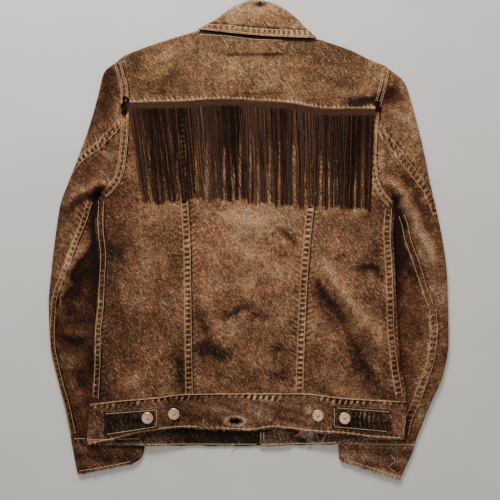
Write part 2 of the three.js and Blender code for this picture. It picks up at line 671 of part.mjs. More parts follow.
function collarPoint(level, turn) {
  const half = lerp(COLLAR_STAND_HALF, COLLAR_LEAF_HALF, (1 - Math.cos(Math.PI * level.past)) / 2);
  const width = level.right - level.left;
  const { distance, gained, upper } = aroundSection(turn, width, half * COLLAR_ROLL_STRETCH);
  const share = distance / width;
  const bend = (at) => (upper ? level.backRise * arch(at) : -level.frontDrop * arch(at) ** 1.5);
  const nearby = Math.min(0.01, share, 1 - share);
  const slope = nearby > 0 ? (bend(share + nearby) - bend(share - nearby)) / (2 * nearby * width) : 0;
  const rise = COLLAR_FOLD_RISE * Math.sin(Math.PI * level.past) * Math.hypot(1, slope);
  return new THREE.Vector3(
    lerp(level.left, level.right, share),
    lerp(level.leftY, level.rightY, share) + bend(share) + rise,
    upper ? COLLAR_MID + half * gained : COLLAR_MID - half * gained,
  );
}

function addCollar() {
  const frontMiddle = -0.25; // the two ends meet under the chin, halfway along the lower side
  const endGap = 0.004;
  const from = frontMiddle + endGap;
  const to = 1 + frontMiddle - endGap;
  const turns = shares(COLLAR_COLUMNS, 1, false, false).map((u) => lerp(from, to, u));
  addPiece("collar", wallThrough(collarPoint, COLLAR_LEVELS, turns, COLLAR_CLOTH, false), wornDenim);
}

// Tabs and buttons on the waistband, with their four edges as places on the body
const TABS = [
  { name: "waist_tab_left", from: -210, to: -130.5, top: [-248, -242], bottom: [-284, -272.6] },
  { name: "waist_tab_right", from: 120, to: 206, top: [-239, -245], bottom: [-272.6, -280] },
];
const BUTTONS = [
  { name: "button_tab_left", at: [-146.5, -256.7], onTab: true },
  { name: "button_band_left", at: [-109, -252], onTab: false },
  { name: "button_band_right", at: [100, -254], onTab: false },
  { name: "button_tab_right", at: [138, -257], onTab: true },
];
const BUTTON_RADIUS = 8.5;
const BUTTON_FOOT_RADIUS = 5;
const BUTTON_HEIGHT = 3.6;
const bandTop = (x, y) => backBandHeight(x, y) + BAND / 2;

function addTabs() {
  for (const tab of TABS) {
    const share = (x) => (x - tab.from) / (tab.to - tab.from);
    const panel = {
      rows: shares(2, 30, false, false),
      columns: shares(8, 80, false, false),
      bottom: (x) => lerp(...tab.bottom, share(x)),
      top: (x) => lerp(...tab.top, share(x)),
      left: always(tab.from),
      right: always(tab.to),
      height: (x, y) => bandTop(x, y) + LAID_GAP + BAND / 2,
    };
    addPiece(tab.name, clothWall(panelGrid(panel), BAND), darkDenim);
  }
}

function addButtons() {
  const profile = [
    [0, 0], [BUTTON_FOOT_RADIUS, 0], [BUTTON_FOOT_RADIUS, 1], [BUTTON_RADIUS, 1.2], [BUTTON_RADIUS, 2.4],
    [BUTTON_RADIUS - 1.2, BUTTON_HEIGHT], [3, BUTTON_HEIGHT - 0.5], [0, BUTTON_HEIGHT - 0.3],
  ].map(([radius, height]) => new THREE.Vector2(radius, height));
  for (const button of BUTTONS) {
    const [x, y] = button.at;
    const around = [[0, 0], [5, 0], [-5, 0], [0, 5], [0, -5]].map(([dx, dy]) => bandTop(x + dx, y + dy));
    const seat = Math.max(...around) + (button.onTab ? LAID_GAP + BAND : 0) + LAID_GAP;
    const geometry = new THREE.LatheGeometry(profile, 14);
    geometry.rotateX(Math.PI / 2);
    geometry.translate(x, y, seat);
    addPiece(button.name, fromSolid(solid(geometry)), buttonMetal);
  }
}

// Fringe: a narrow strip just under the yoke seam, with strands that hang from its lower edge
const FRINGE_FROM = -177;
const FRINGE_TO = 183;
const FRINGE_STRIP_WIDTH = 10;
const FRINGE_STRANDS = 108;
const FRINGE_ROOT = 2;
const STRAND_WIDTH = 1.7;
const STRAND_HEIGHT = 1.0;
const STRAND_CLEARANCE = 1.0;
const stripBottom = (x) => yokeSeam(x) - 1 - FRINGE_STRIP_WIDTH;
const fringeTip = graph([[-154, 54], [-120, 55], [-70, 61], [-27, 60], [19, 54], [60, 51], [117, 49], [174, 45]]);
const backTopSide = (x, y) => backHeight(x, y) + CLOTH / 2;

/** A closed three-sided strand through places on the back. */
function strand(places) {
  const positions = [];
  const faces = [];
  places.forEach(([x, y], i) => {
    const taper = lerp(1, 0.55, i / (places.length - 1));
    const z = backTopSide(x, y) + STRAND_CLEARANCE;
    const half = (STRAND_WIDTH / 2) * taper;
    positions.push(x - half, y, z, x + half, y, z, x, y, z + STRAND_HEIGHT * taper);
  });
  for (let i = 0; i < places.length - 1; i += 1) {
    for (let k = 0; k < 3; k += 1) {
      const a = i * 3 + k;
      const b = i * 3 + ((k + 1) % 3);
      faces.push(a, b, b + 3, a, b + 3, a + 3);
    }
  }
  const end = (places.length - 1) * 3;
  faces.push(0, 2, 1, end, end + 1, end + 2);
  return indexed(positions, faces);
}

function strandPlaces(i) {
  const share = (i + 0.5) / FRINGE_STRANDS;
  const rootX = lerp(FRINGE_FROM + 2, FRINGE_TO - 2, share);
  const tipX = lerp(-155, 176, share) + 0.5 * Math.sin(i * 2.4);
  const tipY = fringeTip(tipX) + 4 * Math.sin(i * 1.7) + 3 * Math.sin(i * 0.37 + 1);
  const rootY = stripBottom(rootX) + FRINGE_ROOT;
  return [0, 0.5, 1].map((t) => {
    const sway = 0.35 * Math.sin(i * 0.9 + 5 * t) * Math.sin(Math.PI * t);
    return [lerp(rootX, tipX, t) + sway, lerp(rootY, tipY, t)];
  });
}

function addFringe() {
  const strip = {
    rows: shares(2, 10, false, false),
    columns: shares(26, 360, false, false),
    bottom: stripBottom,
    top: (x) => yokeSeam(x) - 1,
    left: always(FRINGE_FROM),
    right: always(FRINGE_TO),
    height: (x, y) => backTopSide(x, y) + TRIM_GAP + CLOTH / 2,
  };
  let fringe = solid(clothWall(panelGrid(strip), CLOTH));
  for (let i = 0; i < FRINGE_STRANDS; i += 1) {
    fringe = fringe.add(solid(strand(strandPlaces(i))));
  }
  addPiece("fringe", fromSolid(fringe), trimCloth);
}

addBackPanels();
addBackWaistband();
addFronts();
addFrontWaistbands();
addSleeve("left");
addSleeve("right");
addCuff("left");
addCuff("right");
addCollar();
addTabs();
addButtons();
addFringe();

export default jacket;
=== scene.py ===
"""Looks of a denim trucker jacket that lies flat on a surface with its back up.

Tables and named sizes are millimetres, and meshes are made in metres. +X runs to the wearer's right, +Y to
the collar and +Z up from the surface.
"""

import math

import bpy
import numpy as np
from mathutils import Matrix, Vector
from mathutils.bvhtree import BVHTree


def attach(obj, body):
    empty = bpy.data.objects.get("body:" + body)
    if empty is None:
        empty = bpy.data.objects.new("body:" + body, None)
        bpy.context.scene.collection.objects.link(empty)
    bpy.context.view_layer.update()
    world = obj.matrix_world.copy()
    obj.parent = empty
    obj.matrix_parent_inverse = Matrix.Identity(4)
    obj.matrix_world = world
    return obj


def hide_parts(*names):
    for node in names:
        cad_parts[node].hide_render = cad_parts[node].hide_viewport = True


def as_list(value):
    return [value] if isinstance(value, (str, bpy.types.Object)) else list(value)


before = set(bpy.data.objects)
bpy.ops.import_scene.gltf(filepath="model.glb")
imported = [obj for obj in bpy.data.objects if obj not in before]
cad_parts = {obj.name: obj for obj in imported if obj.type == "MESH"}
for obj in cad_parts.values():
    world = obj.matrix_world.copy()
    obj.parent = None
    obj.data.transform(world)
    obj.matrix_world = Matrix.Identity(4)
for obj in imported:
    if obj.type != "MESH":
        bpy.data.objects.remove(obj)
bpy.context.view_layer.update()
rng = np.random.default_rng(11)

MM = 0.001
# What the camera sees, in metres: its width, its middle, and the height above the floor where it is measured
VIEW_WIDTH = 0.725
VIEW_CENTRE = (0.0015, -0.0145)
VIEW_LEVEL = 0.01
LENS = 70
SENSOR = 36

# Cloth, as thick as its solids
CLOTH = 1.5
BAND = 2.4
COLLAR_CLOTH = 1.4
# Gaps between two panels of one seam, at the armhole, under a piece laid on cloth, and under the trim
MEETING = 0.04
ARMHOLE_INSET = 0.05
LAID_GAP = 0.45
TRIM_GAP = 0.8

# Heights of the middle of each layer above the surface
FRONT_MID = CLOTH / 2
BACK_MID = 4.9
BACK_MID_AT_WAIST = 6.0
FRONT_BAND_MID = BAND / 2
BACK_BAND_MID = 6.7
SLEEVE_MID_COVERED = 4.15
SLEEVE_MID_OPEN = 5.2
CUFF_TOP_MID = 4.2
# How far the air inside puffs up the back and the sleeves
BACK_PUFF = 1.2
SLEEVE_PUFF = 2.4
OUTLINE_OFFSET = 0.6  # least distance of back and front from the middle between them
# How far a layer is lifted by the other front, by a sleeve under it and by the collar, and where that fades
UNDERLAP_LIFT = 2.1
BAND_UNDERLAP_LIFT = 2.7
SLEEVE_STACK = 5.7
COLLAR_STACK = 2.4
LIFT_MARGIN = 10
LIFT_FADE = 60

# Places of the body in plan
ARMPIT_Y = 62
CENTRE_EDGE_RIGHT_FRONT = 14.5
CENTRE_EDGE_LEFT_FRONT = 50
NECK_LEFT_X = -74
NECK_RIGHT_X = 98.6
NECK_LEFT_Y = 303.5
NECK_RIGHT_Y = 291.5
STAND_LEFT_X = -66
STAND_RIGHT_X = 92
NECK_RISE_BACK = 9
NECK_DROP_FRONT = 70
LEAF_DROP_FRONT = 110


def placed(name, data):
    """A new object of the scene."""
    item = bpy.data.objects.new(name, data)
    bpy.context.scene.collection.objects.link(item)
    return item


def add_camera():
    data = bpy.data.cameras.new("camera")
    data.lens = LENS
    data.sensor_width = SENSOR
    camera = placed("camera", data)
    camera.location = (*VIEW_CENTRE, VIEW_LEVEL + VIEW_WIDTH * LENS / SENSOR)
    bpy.context.scene.camera = camera


def lerp(start, end, share):
    return start + (end - start) * share


def ease(share):
    t = np.clip(share, 0, 1)
    return t * t * (3 - 2 * t)


def arch(share):
    return 4 * share * (1 - share)


def bell(value, width):
    """1 where the value is zero, fading on both sides of it."""
    return np.exp(-((value / width) ** 2))


def graph(rows):
    """A smooth curve through rows of (place, value), which doesn't overshoot between them."""
    places, values = np.array(sorted(rows), float).T
    secant = np.diff(values) / np.diff(places)
    before, after = secant[:-1], secant[1:]
    total = np.where(before * after > 0, before + after, 1)
    inner = np.where(before * after > 0, 2 * before * after / total, 0)
    slope = np.concatenate([secant[:1], inner, secant[-1:]])

    def value(place):
        at = np.clip(place, places[0], places[-1])
        i = np.clip(np.searchsorted(places, at, side="right") - 1, 0, len(places) - 2)
        width = places[i + 1] - places[i]
        t = (at - places[i]) / width
        rise = 3 * t**2 - 2 * t**3
        return (
            values[i] * (1 - rise)
            + values[i + 1] * rise
            + slope[i] * width * (t**3 - 2 * t**2 + t)
            + slope[i + 1] * width * (t**3 - t**2)
        )

    return value


# Edges of the body, x for each y
left_edge = graph([
    (-297, -235), (-235, -229), (-160, -225), (-87, -220), (-41, -216), (-10, -220), (29, -223), (51, -219),
    (63, -214), (72, -202), (87, -191), (109, -185), (160, -181), (203, -180), (238, -184), (260, -190),
])
right_edge = graph([
    (-291, 224), (-232, 228), (-188, 221), (-145, 217), (-87, 213.5), (-29, 211), (7, 209), (36, 210.5),
    (51, 210), (59, 200), (72, 190), (87, 184), (116, 181), (160, 182), (199, 187), (226, 194), (251, 200),
])
left_princess = graph([(-222, -87), (-87, -89), (-15, -90), (44, -93), (87, -96), (145, -97), (202, -99)])
right_princess = graph([(-222, 73), (-87, 78), (-15, 83), (29, 87), (72, 93), (116, 97), (193, 101)])
# Cross seams and hems, y for each x
yoke_seam = graph([(-184, 200), (-100, 201.5), (-42, 205), (2, 203), (59, 199), (117, 191), (187, 191)])
waist_seam = graph([
    (-230, -237), (-180, -231), (-136, -227.5), (-93, -223), (0, -222), (74, -222), (139, -228), (228, -233),
])
back_hem = graph([
    (-236, -297), (-199, -290), (-158, -280), (-115, -274), (-93, -273), (0, -277), (38, -273),
    (81, -278), (139, -281), (175, -286), (226, -289),
])
front_waist_seam = graph([(-235, -238), (-150, -246), (0, -252), (117, -247), (228, -235)])
front_hem = graph([(-236, -298), (-150, -299), (0, -300), (117, -297), (161, -291.5), (228, -290)])
shoulder = graph([
    (-190, 261), (-180, 268), (-158, 277), (-129, 287), (-107, 294), (-86, 300), (NECK_LEFT_X, NECK_LEFT_Y),
    (NECK_RIGHT_X, NECK_RIGHT_Y), (117, 286), (146, 276), (175, 262), (200, 252),
])


def across_neck(x):
    return (x - NECK_LEFT_X) / (NECK_RIGHT_X - NECK_LEFT_X)


def neck_line(x):
    return lerp(NECK_LEFT_Y, NECK_RIGHT_Y, across_neck(x))


def neck_share(x):
    return np.clip((x - STAND_LEFT_X) / (STAND_RIGHT_X - STAND_LEFT_X), 0, 1)


def straight_edge(x):
    """An edge that stays at one x for every y."""
    return lambda y: x + 0 * y


def in_neck(x):
    return (x > NECK_LEFT_X) & (x < NECK_RIGHT_X)


def back_top(x):
    return np.where(in_neck(x), neck_line(x) + NECK_RISE_BACK * arch(neck_share(x)), shoulder(x))


def front_top(x):
    dropped = neck_line(x) - NECK_DROP_FRONT * arch(neck_share(x)) ** 1.5 - 0.7
    return np.where(in_neck(x), dropped, shoulder(x))


def front_leaf_edge(x):
    share = np.clip(across_neck(x), 0, 1)
    return lerp(306, 293, share) - LEAF_DROP_FRONT * arch(share) ** 1.5


# Sleeves from armhole to cuff: outer x and y, inner x and y, shares of the width at back and underarm seam
BACK_SEAM, UNDERARM_SEAM = 4, 5
SLEEVES = {
    "left": [
        (-190.8, 260, -218, 60, 0.6, 0.93), (-210, 244, -220.6, 50, 0.58, 0.92),
        (-219, 210, -222.4, 38, 0.48, 0.88), (-230, 171, -223.4, 24, 0.32, 0.79),
        (-245, 128, -219, 0, 0.11, 0.6), (-261, 87, -213, -24, -0.08, 0.44),
        (-274, 51, -206, -56, -0.2, 0.33), (-282, 0, -197, -91, -0.3, 0.2),
        (-287, -44, -187, -130, -0.36, 0.12), (-291, -94, -174, -170, -0.4, 0.07),
        (-289, -152, -164, -209, -0.42, 0.06), (-278, -203, -157, -244, -0.42, 0.06),
        (-267, -246, -154, -271, -0.42, 0.06), (-258, -291, -152, -291, -0.42, 0.06),
    ],
    "right": [
        (200.8, 251, 214, 48, 0.62, 0.94), (226, 229, 212, 41, 0.6, 0.93),
        (236, 199, 210.8, 31, 0.56, 0.9), (246, 162, 209, 15, 0.47, 0.83),
        (255, 123, 208, -5, 0.33, 0.71), (262, 87, 204, -29, 0.18, 0.6),
        (271, 49, 198, -59, 0.04, 0.5), (281, 0, 189, -96, -0.1, 0.37),
        (287, -46, 178, -133, -0.2, 0.26), (289, -94, 167, -171, -0.28, 0.18),
        (290, -148, 155, -207, -0.3, 0.15), (281, -199, 145, -239, -0.3, 0.16),
        (264, -238, 136, -267, -0.3, 0.15), (242, -293, 132, -291, -0.3, 0.13),
    ],
}
CUFFS = {
    "left": [
        (-258, -291.1, -152, -291.1), (-254, -312, -154.5, -309), (-251, -329, -160, -319),
        (-248, -341, -170, -325),
    ],
    "right": [
        (242, -293.1, 132, -291.1), (237, -309, 132, -303), (228, -329, 132, -313), (219, -349, 133, -321),
    ],
}
sleeve_inner = {side: graph([(row[3], row[2]) for row in SLEEVES[side][4:]]) for side in SLEEVES}

# Folds as in the solids: path, height, and width on the left and on the right of the path
FOLDS = [
    ([(-196, 84), (-223, 76), (-240, 70), (-257, 58), (-266, 40)], 9, 10, 16),
    ([(-222, 18), (-233, -7), (-250, -28), (-265, -51), (-273, -80), (-284, -106)], 8, 9, 20),
    ([(192, 88), (212, 74), (224, 62), (233, 42), (246, 8), (263, -20), (278, -66)], 10, 18, 9),
    ([(103, -22), (125, -65), (154, -101), (183, -138), (197, -174)], 4.5, 16, 12),
    ([(-60, -128), (-20, -120), (10, -100), (36, -112)], 2.5, 12, 12),
    ([(-80, 20), (-30, -10), (40, -40)], 2, 18, 18),
    ([(-272, -140), (-262, -180), (-256, -225)], 3, 14, 14),
    ([(272, -120), (262, -170), (250, -215)], 3, 14, 14),
]
# Creases that the solids leave out, in the same columns, troughs below zero
CREASES = [
    ([(91, -51), (110, -80), (132, -109), (146, -138), (168, -181), (190, -210)], -3.2, 9, 11),
    ([(157, -43), (178, -41), (193, -62)], -2.4, 8, 6),
    ([(42, 16), (56, 10), (70, -1)], -1.6, 7, 8),
    ([(-43, -123), (-14, -100), (10, -97), (32, -109)], -2.2, 9, 7),
    ([(-72, -152), (-50, -158), (-28, -168)], -1.6, 8, 8),
    ([(28, -155), (42, -160), (55, -167)], -1.5, 7, 7),
    ([(-80, -84), (-70, -112), (-59, -138)], -1.7, 8, 8),
    ([(-104, -120), (-98, -170), (-95, -216)], -2.0, 9, 6),
    ([(-210, -30), (-190, -60), (-176, -100), (-170, -140)], 1.8, 14, 10),
    ([(-160, 20), (-150, -30), (-135, -70)], 1.4, 12, 14),
    ([(-200, -150), (-180, -175), (-150, -200)], -1.6, 10, 8),
    ([(130, 20), (140, -10), (128, -40)], -1.3, 9, 9),
    ([(20, -190), (40, -200), (66, -214)], -1.3, 8, 8),
    ([(-60, -196), (-30, -204), (0, -214)], -1.2, 8, 8),
    ([(144, 200), (172, 203), (196, 205)], -1.5, 8, 6),
    ([(-150, 250), (-130, 262), (-100, 270)], 1.2, 10, 10),
    ([(60, 262), (96, 250), (140, 236)], 1.3, 14, 12),
    ([(-212, 74), (-220, 66), (-226, 52), (-227, 30)], -3.6, 6, 6),
    ([(210, 66), (215, 54), (219, 34), (224, 8)], -3.8, 6, 6),
    ([(-230, 66), (-246, 58), (-262, 44)], -1.6, 8, 6),
    ([(224, 8), (232, -22), (244, -50), (262, -84)], -2.6, 10, 9),
    ([(-232, -40), (-246, -66), (-254, -100)], -2.4, 12, 10),
    ([(-230, 130), (-222, 110), (-206, 98)], -1.6, 9, 9),
    ([(206, 214), (214, 222), (222, 226)], -2.2, 6, 8),
    ([(228, 180), (238, 160), (246, 140)], 1.3, 10, 10),
    ([(-250, -112), (-262, -118), (-276, -114)], 1.5, 6, 7),
    ([(-242, -142), (-256, -150), (-272, -146)], -1.5, 7, 6),
    ([(-244, -176), (-256, -186), (-268, -186)], 1.4, 6, 7),
    ([(244, -112), (258, -120), (274, -118)], -1.5, 7, 6),
    ([(238, -150), (252, -160), (270, -158)], 1.5, 6, 7),
    ([(232, -206), (242, -214), (256, -214)], -1.2, 6, 6),
]
# Felled seams: middle of the band between its stitch rows, half its width, strength of its bars at both ends
SEAMS = {
    "princess_left": ([(float(left_princess(y)), y) for y in range(198, -230, -53)], 4.7, 1.0, 1.0),
    "princess_right": ([(float(right_princess(y)), y) for y in range(189, -230, -52)], 4.8, 1.0, 1.1),
    "armhole_left": (
        [(-191, 258), (-186, 239), (-181, 220), (-180, 203), (-180.5, 158), (-183, 130), (-186, 104),
         (-193, 86), (-203, 73), (-213, 64)], 4.8, 0.3, 0.7),
    "armhole_right": (
        [(200, 249), (196, 229), (190, 207), (184, 181), (181.5, 160), (180.5, 112), (184, 87), (190, 73),
         (199, 60), (208, 50)], 4.4, 0.4, 0.7),
    "sleeve_back_left": (
        [(-188, 172), (-194, 163), (-206, 151), (-220, 136), (-236, 125), (-249, 114), (-261, 97)],
        4.2, 1.0, 1.0),
    "sleeve_back_right": (
        [(187, 167), (199, 149), (214, 130.5), (229, 110), (244, 91), (258, 71), (268, 49), (273, 36)],
        4.8, 0.9, 0.9),
    "underarm_left": (
        [(-231, 56), (-236, 40), (-243, 20), (-251, 0), (-263, -36), (-271, -56), (-279, -76), (-284, -103),
         (-286, -131), (-285.5, -152), (-280.5, -178), (-273.5, -208), (-264, -241), (-257, -274),
         (-254.5, -286)],
        3.2, 0.9, 0.5),
    "underarm_right": (
        [(222, 36), (227, 20), (231, 0), (237, -17), (244, -36), (255, -70), (265, -98)], 4.0, 0.1, 0.2),
    "elbow_right": (
        [(267, -100), (268.5, -130), (266, -155), (264, -172), (253, -206), (242, -238), (235, -254),
         (229, -272), (227, -286)], 4.8, 0.9, 1.1),
    "side_left": (
        [(-215, 56), (-215.5, 30), (-214, 8), (-211, -26), (-213, -58), (-214.5, -94), (-218.5, -130),
         (-219.5, -184), (-222, -231)], 3.6, 0.0, 1.1),
    "side_right": (
        [(203, 46), (200.5, 20), (200, 7), (203.4, -58), (205.3, -130), (208.8, -167), (213, -199),
         (218, -229)], 4.6, 0.7, 0.8),
}
LADDER_PITCH = 7.6
# Height of the band of a seam and of its bars, and how far the bars fade out beside it
SEAM_HEIGHT = 0.6
BAR_HEIGHT = 0.34
HALO_REACH = 15
HALO_FADE = 12
STROKE_SPREAD = 1.35
SHADE_STRENGTH = 0.62
# Strokes of painted shade in hollows and under folds and of painted highlight on ridges, mixed with paler and
# darker strokes of wash: path, amount (paler above zero), width on the left and on the right of the path
SHADES = [
    ([(-215, 80), (-221, 66), (-225, 44), (-224, 24)], -1.1, 7, 6),
    ([(-222, 20), (-229, -4), (-240, -26), (-256, -52), (-266, -90), (-262, -130)], -0.7, 26, 3),
    ([(-196, 84), (-223, 79), (-240, 73), (-257, 59)], 0.22, 5, 6),
    ([(-230, 8), (-246, -20), (-262, -48), (-272, -84)], 0.14, 4, 7),
    ([(211, 68), (215, 52), (219, 30), (226, 6)], -1.1, 7, 6),
    ([(216, 20), (222, -10), (233, -40), (252, -80)], -0.7, 6, 12),
    ([(194, 92), (208, 80), (221, 68), (231, 48), (243, 14), (260, -16), (276, -60)], 0.14, 5, 4),
    ([(206, 108), (224, 94), (238, 72), (250, 44), (264, 14)], -0.5, 11, 8),
    ([(222, 30), (230, 4), (244, -30), (262, -66)], -0.35, 5, 9),
    ([(138, 197), (160, 201), (182, 202), (196, 205)], -1.5, 8, 6),
    ([(188, 204), (204, 212), (222, 226)], -0.9, 9, 11),
    ([(-200, 250), (-208, 212), (-214, 170)], -0.55, 14, 12),
    ([(-240, 176), (-222, 160)], -0.35, 9, 9),
    ([(-214, 120), (-240, 104)], -0.25, 12, 12),
    ([(43, 19), (56, 9), (70, -2)], -0.5, 6, 7),
    ([(156, -40), (179, -42), (195, -61)], -0.55, 9, 8),
    ([(178, 0), (181, -22), (178, -42)], -0.25, 12, 8),
    ([(92, -50), (116, -86), (152, -124)], -0.48, 6, 16),
    ([(130, -116), (150, -150), (168, -186), (190, -218)], -0.34, 9, 18),
    ([(103, -18), (139, -86), (183, -126), (200, -156)], 0.30, 16, 14),
    ([(-80, -80), (-66, -118), (-56, -148), (-34, -173)], -0.34, 6, 12),
    ([(-36, -114), (-9, -101), (30, -110)], -0.46, 7, 7),
    ([(-80, -152), (-60, -162), (-24, -166)], -0.55, 8, 10),
    ([(30, -164), (56, -158)], -0.4, 9, 9),
    ([(26, -206), (66, -190)], -0.35, 12, 12),
    ([(-101, -160), (-96, -222)], -0.45, 12, 12),
    ([(-214, 4), (-196, -20), (-176, -44)], -0.3, 16, 16),
    ([(-146, -104), (-133, -110)], -0.35, 8, 8),
    ([(8, -58), (24, -66)], -0.3, 9, 9),
    ([(86, -208), (116, -216)], -0.32, 9, 9),
    ([(-50, -124), (-18, -138)], 0.22, 12, 12),
    ([(-6, -84), (20, -52), (40, -70)], 0.16, 20, 20),
    ([(-80, 28), (-20, 34), (40, 30)], 0.14, 16, 16),
    ([(-206, -150), (-190, -200)], 0.12, 14, 14),
    ([(-180, -210), (-150, -205)], 0.15, 16, 16),
    ([(-140, 222), (-120, 232), (-96, 250)], -0.3, 14, 14),
    ([(-170, 236), (-158, 262)], -0.25, 9, 9),
    ([(60, 270), (110, 262)], -0.22, 12, 12),
    ([(120, 232), (160, 228)], -0.22, 12, 12),
    ([(-282, -60), (-270, -130), (-262, -200)], -0.25, 14, 14),
    ([(-232, -150), (-228, -220)], -0.30, 14, 12),
    ([(232, -60), (240, -130), (226, -200)], -0.30, 14, 16),
    ([(280, -60), (284, -140)], 0.12, 8, 8),
    ([(-280, -92), (-262, -90), (-240, -94)], 0.22, 5, 5),
    ([(-280, -130), (-260, -132), (-236, -130)], 0.20, 4, 4),
    ([(-278, -143), (-258, -146), (-232, -141)], -0.45, 6, 6),
    ([(-274, -162), (-262, -178), (-256, -192)], 0.35, 10, 8),
    ([(-252, -186), (-246, -200), (-236, -210)], -0.45, 10, 10),
    ([(-268, -78), (-275, -92), (-279, -106)], 0.5, 2.5, 2.5),
    ([(-262, -240), (-250, -262), (-240, -284)], -0.3, 12, 12),
    ([(-214, -20), (-206, -80), (-208, -140)], -0.20, 16, 16),
]


def stroke(row, x, y):
    """A soft stroke along a path, that thins out towards its ends."""
    path, amount, left, right = row
    distance, side, _, share = along_path(path, x, y)
    width = STROKE_SPREAD * np.where(side > 0, left, right)
    return amount * (0.15 + 0.85 * arch(share) ** 0.7) * np.exp(-2 * (distance / width) ** 2)


def shade(x, y):
    """All strokes of painted shade, painted highlight and faded cloth, with wavering edges."""
    waver_x = x + 2.6 * np.sin(y / 7 + np.sin(x / 11)) + 1.3 * np.sin((x - y) / 3.7)
    waver_y = y + 2.6 * np.sin(x / 8 + np.sin(y / 13)) + 1.3 * np.sin((x + y) / 4.3)
    return SHADE_STRENGTH * sum(stroke(row, waver_x, waver_y) for row in SHADES)


def along_path(path, x, y):
    """Distance from a path, the side of it (1 on the left), and the length and share passed along it."""
    best = np.full(np.shape(x), np.inf)
    side = np.ones(np.shape(x))
    passed = np.zeros(np.shape(x))
    share = np.zeros(np.shape(x))
    before = 0.0
    stretches = len(path) - 1
    for i, ((ax, ay), (bx, by)) in enumerate(zip(path, path[1:])):
        dx, dy = bx - ax, by - ay
        length = math.hypot(dx, dy)
        t = np.clip(((x - ax) * dx + (y - ay) * dy) / length**2, 0, 1)
        distance = np.hypot(x - ax - dx * t, y - ay - dy * t)
        nearer = distance < best
        best = np.where(nearer, distance, best)
        side = np.where(nearer, np.sign(dx * (y - ay) - dy * (x - ax)), side)
        passed = np.where(nearer, before + length * t, passed)
        share = np.where(nearer, (i + t) / stretches, share)
        before += length
    return best, side, passed, share


def ridge(fold, x, y):
    path, height, left, right = fold
    distance, side, _, share = along_path(path, x, y)
    fade = np.minimum(1, arch(share) * 2.2)
    return height * fade * ease(1 - distance / np.where(side > 0, left, right))


def fold_height(x, y):
    return sum(ridge(fold, x, y) for fold in FOLDS)


def crease_height(x, y):
    small = 0.45 * np.sin(x / 19 + 1.4 * np.sin(y / 37)) * np.sin(y / 26 + 0.8 * np.sin(x / 29 + 2))
    return small + sum(ridge(crease, x, y) for crease in CREASES)


def ladder(passed, seed):
    """Puckers across a seam, uneven in pitch, from -1 to 1."""
    drift = 1.1 * np.sin(passed / 23 + seed) + 0.6 * np.sin(passed / 9.1 + 2 * seed)
    strength = 0.75 + 0.25 * np.sin(passed / 31 + 3 * seed)
    return strength * np.sin(2 * math.pi * passed / LADDER_PITCH + drift)


def bars(rungs):
    """Share of worn cloth on the puckers of a ladder: their tops, with steep sides."""
    return ease((rungs + 0.1) / 0.75)


def seam_relief(x, y):
    """Height and wear that the felled seams add."""
    height = np.zeros(np.shape(x))
    wear = np.zeros(np.shape(x))
    for i, (path, half, at_start, at_end) in enumerate(SEAMS.values()):
        distance, side, passed, share = along_path(path, x, y)
        soft = np.where(side > 0, 0.7, 2.2)
        band = ease((half + 1.2 + soft / 2 - distance) / soft)
        inside = ease((half - 0.6 - distance) / 1.2)
        rungs = ladder(passed, i)
        strength = lerp(at_start, at_end, share)
        beside = ladder(passed + 0.5 * distance, i + 0.5)
        halo = ease((half + HALO_REACH - distance) / HALO_FADE) * (1 - band) * beside
        edge = bell(distance - half - 1.0, 0.9) * (side > 0)
        row = bell(distance - half, 0.75)
        ends = ease(share * 30) * ease((1 - share) * 30)
        height = np.maximum(height, SEAM_HEIGHT * ends * band)
        height = height + BAR_HEIGHT * strength * ends * inside * rungs
        worn = strength * (inside * (0.66 * bars(rungs) - 0.22) + 0.16 * halo)
        worn = worn + 0.32 * row - 0.03 * band - 0.55 * edge
        wear = wear + ends * worn
    return height, wear


def body_lift(x, y):
    """How far the sleeves and the collar's front leaf hold the body up."""
    below = ease((55 - y) / 50)
    over_left = 1 - ease((x - sleeve_inner["left"](y) - LIFT_MARGIN) / LIFT_FADE)
    over_right = 1 - ease((sleeve_inner["right"](y) - x - LIFT_MARGIN) / LIFT_FADE)
    over_leaf = ease((y - front_leaf_edge(x) + LIFT_MARGIN + LIFT_FADE) / LIFT_FADE)
    return SLEEVE_STACK * below * np.maximum(over_left, over_right) + COLLAR_STACK * over_leaf


def armhole_inset(y):
    return ARMHOLE_INSET * ease((y - 34) / 12)


def body_left(y):
    return left_edge(y) + armhole_inset(y)


def body_right(y):
    return right_edge(y) - armhole_inset(y)


def in_from_outline(x, y):
    """Distance in from the folded outline of the body: its sides below the armpit and its shoulders."""
    sides = np.where(y < ARMPIT_Y, np.minimum(x - body_left(y), body_right(y) - x), np.inf)
    shoulders = np.where(in_neck(x), np.inf, shoulder(x) - y)
    return np.maximum(0, np.minimum(sides, shoulders))


def layer_height(x, y, upper_mid, lower_mid, sign):
    half = (upper_mid - lower_mid) / 2
    share = np.minimum(in_from_outline(x, y) / half, 1)
    rise = half * np.sqrt(1 - (1 - share) ** 2)
    return (upper_mid + lower_mid) / 2 + sign * np.maximum(OUTLINE_OFFSET, rise)


def back_mid(x, y):
    base = lerp(BACK_MID, BACK_MID_AT_WAIST, ease((-185 - y) / 38))
    puff = BACK_PUFF * ease((in_from_outline(x, y) - 4) / 40) * ease((y + 215) / 60)
    return base + body_lift(x, y) + np.where(in_neck(x) & (y > 200), 0, puff) + fold_height(x, y)


def front_mid(x, y):
    return FRONT_MID + body_lift(x, y)


def body_relief(x, y):
    away = ease(in_from_outline(x, y) / 7)
    return away * (crease_height(x, y) + seam_relief(x, y)[0] + yoke_pucker(x, y)[0])


def back_height(x, y):
    return layer_height(x, y, back_mid(x, y), front_mid(x, y), 1) + body_relief(x, y)


def front_height(x, y):
    return layer_height(x, y, back_mid(x, y), front_mid(x, y), -1)


def band_lower(x, y):
    return FRONT_BAND_MID + body_lift(x, y)


def band_upper(x, y):
    return BACK_BAND_MID + body_lift(x, y)


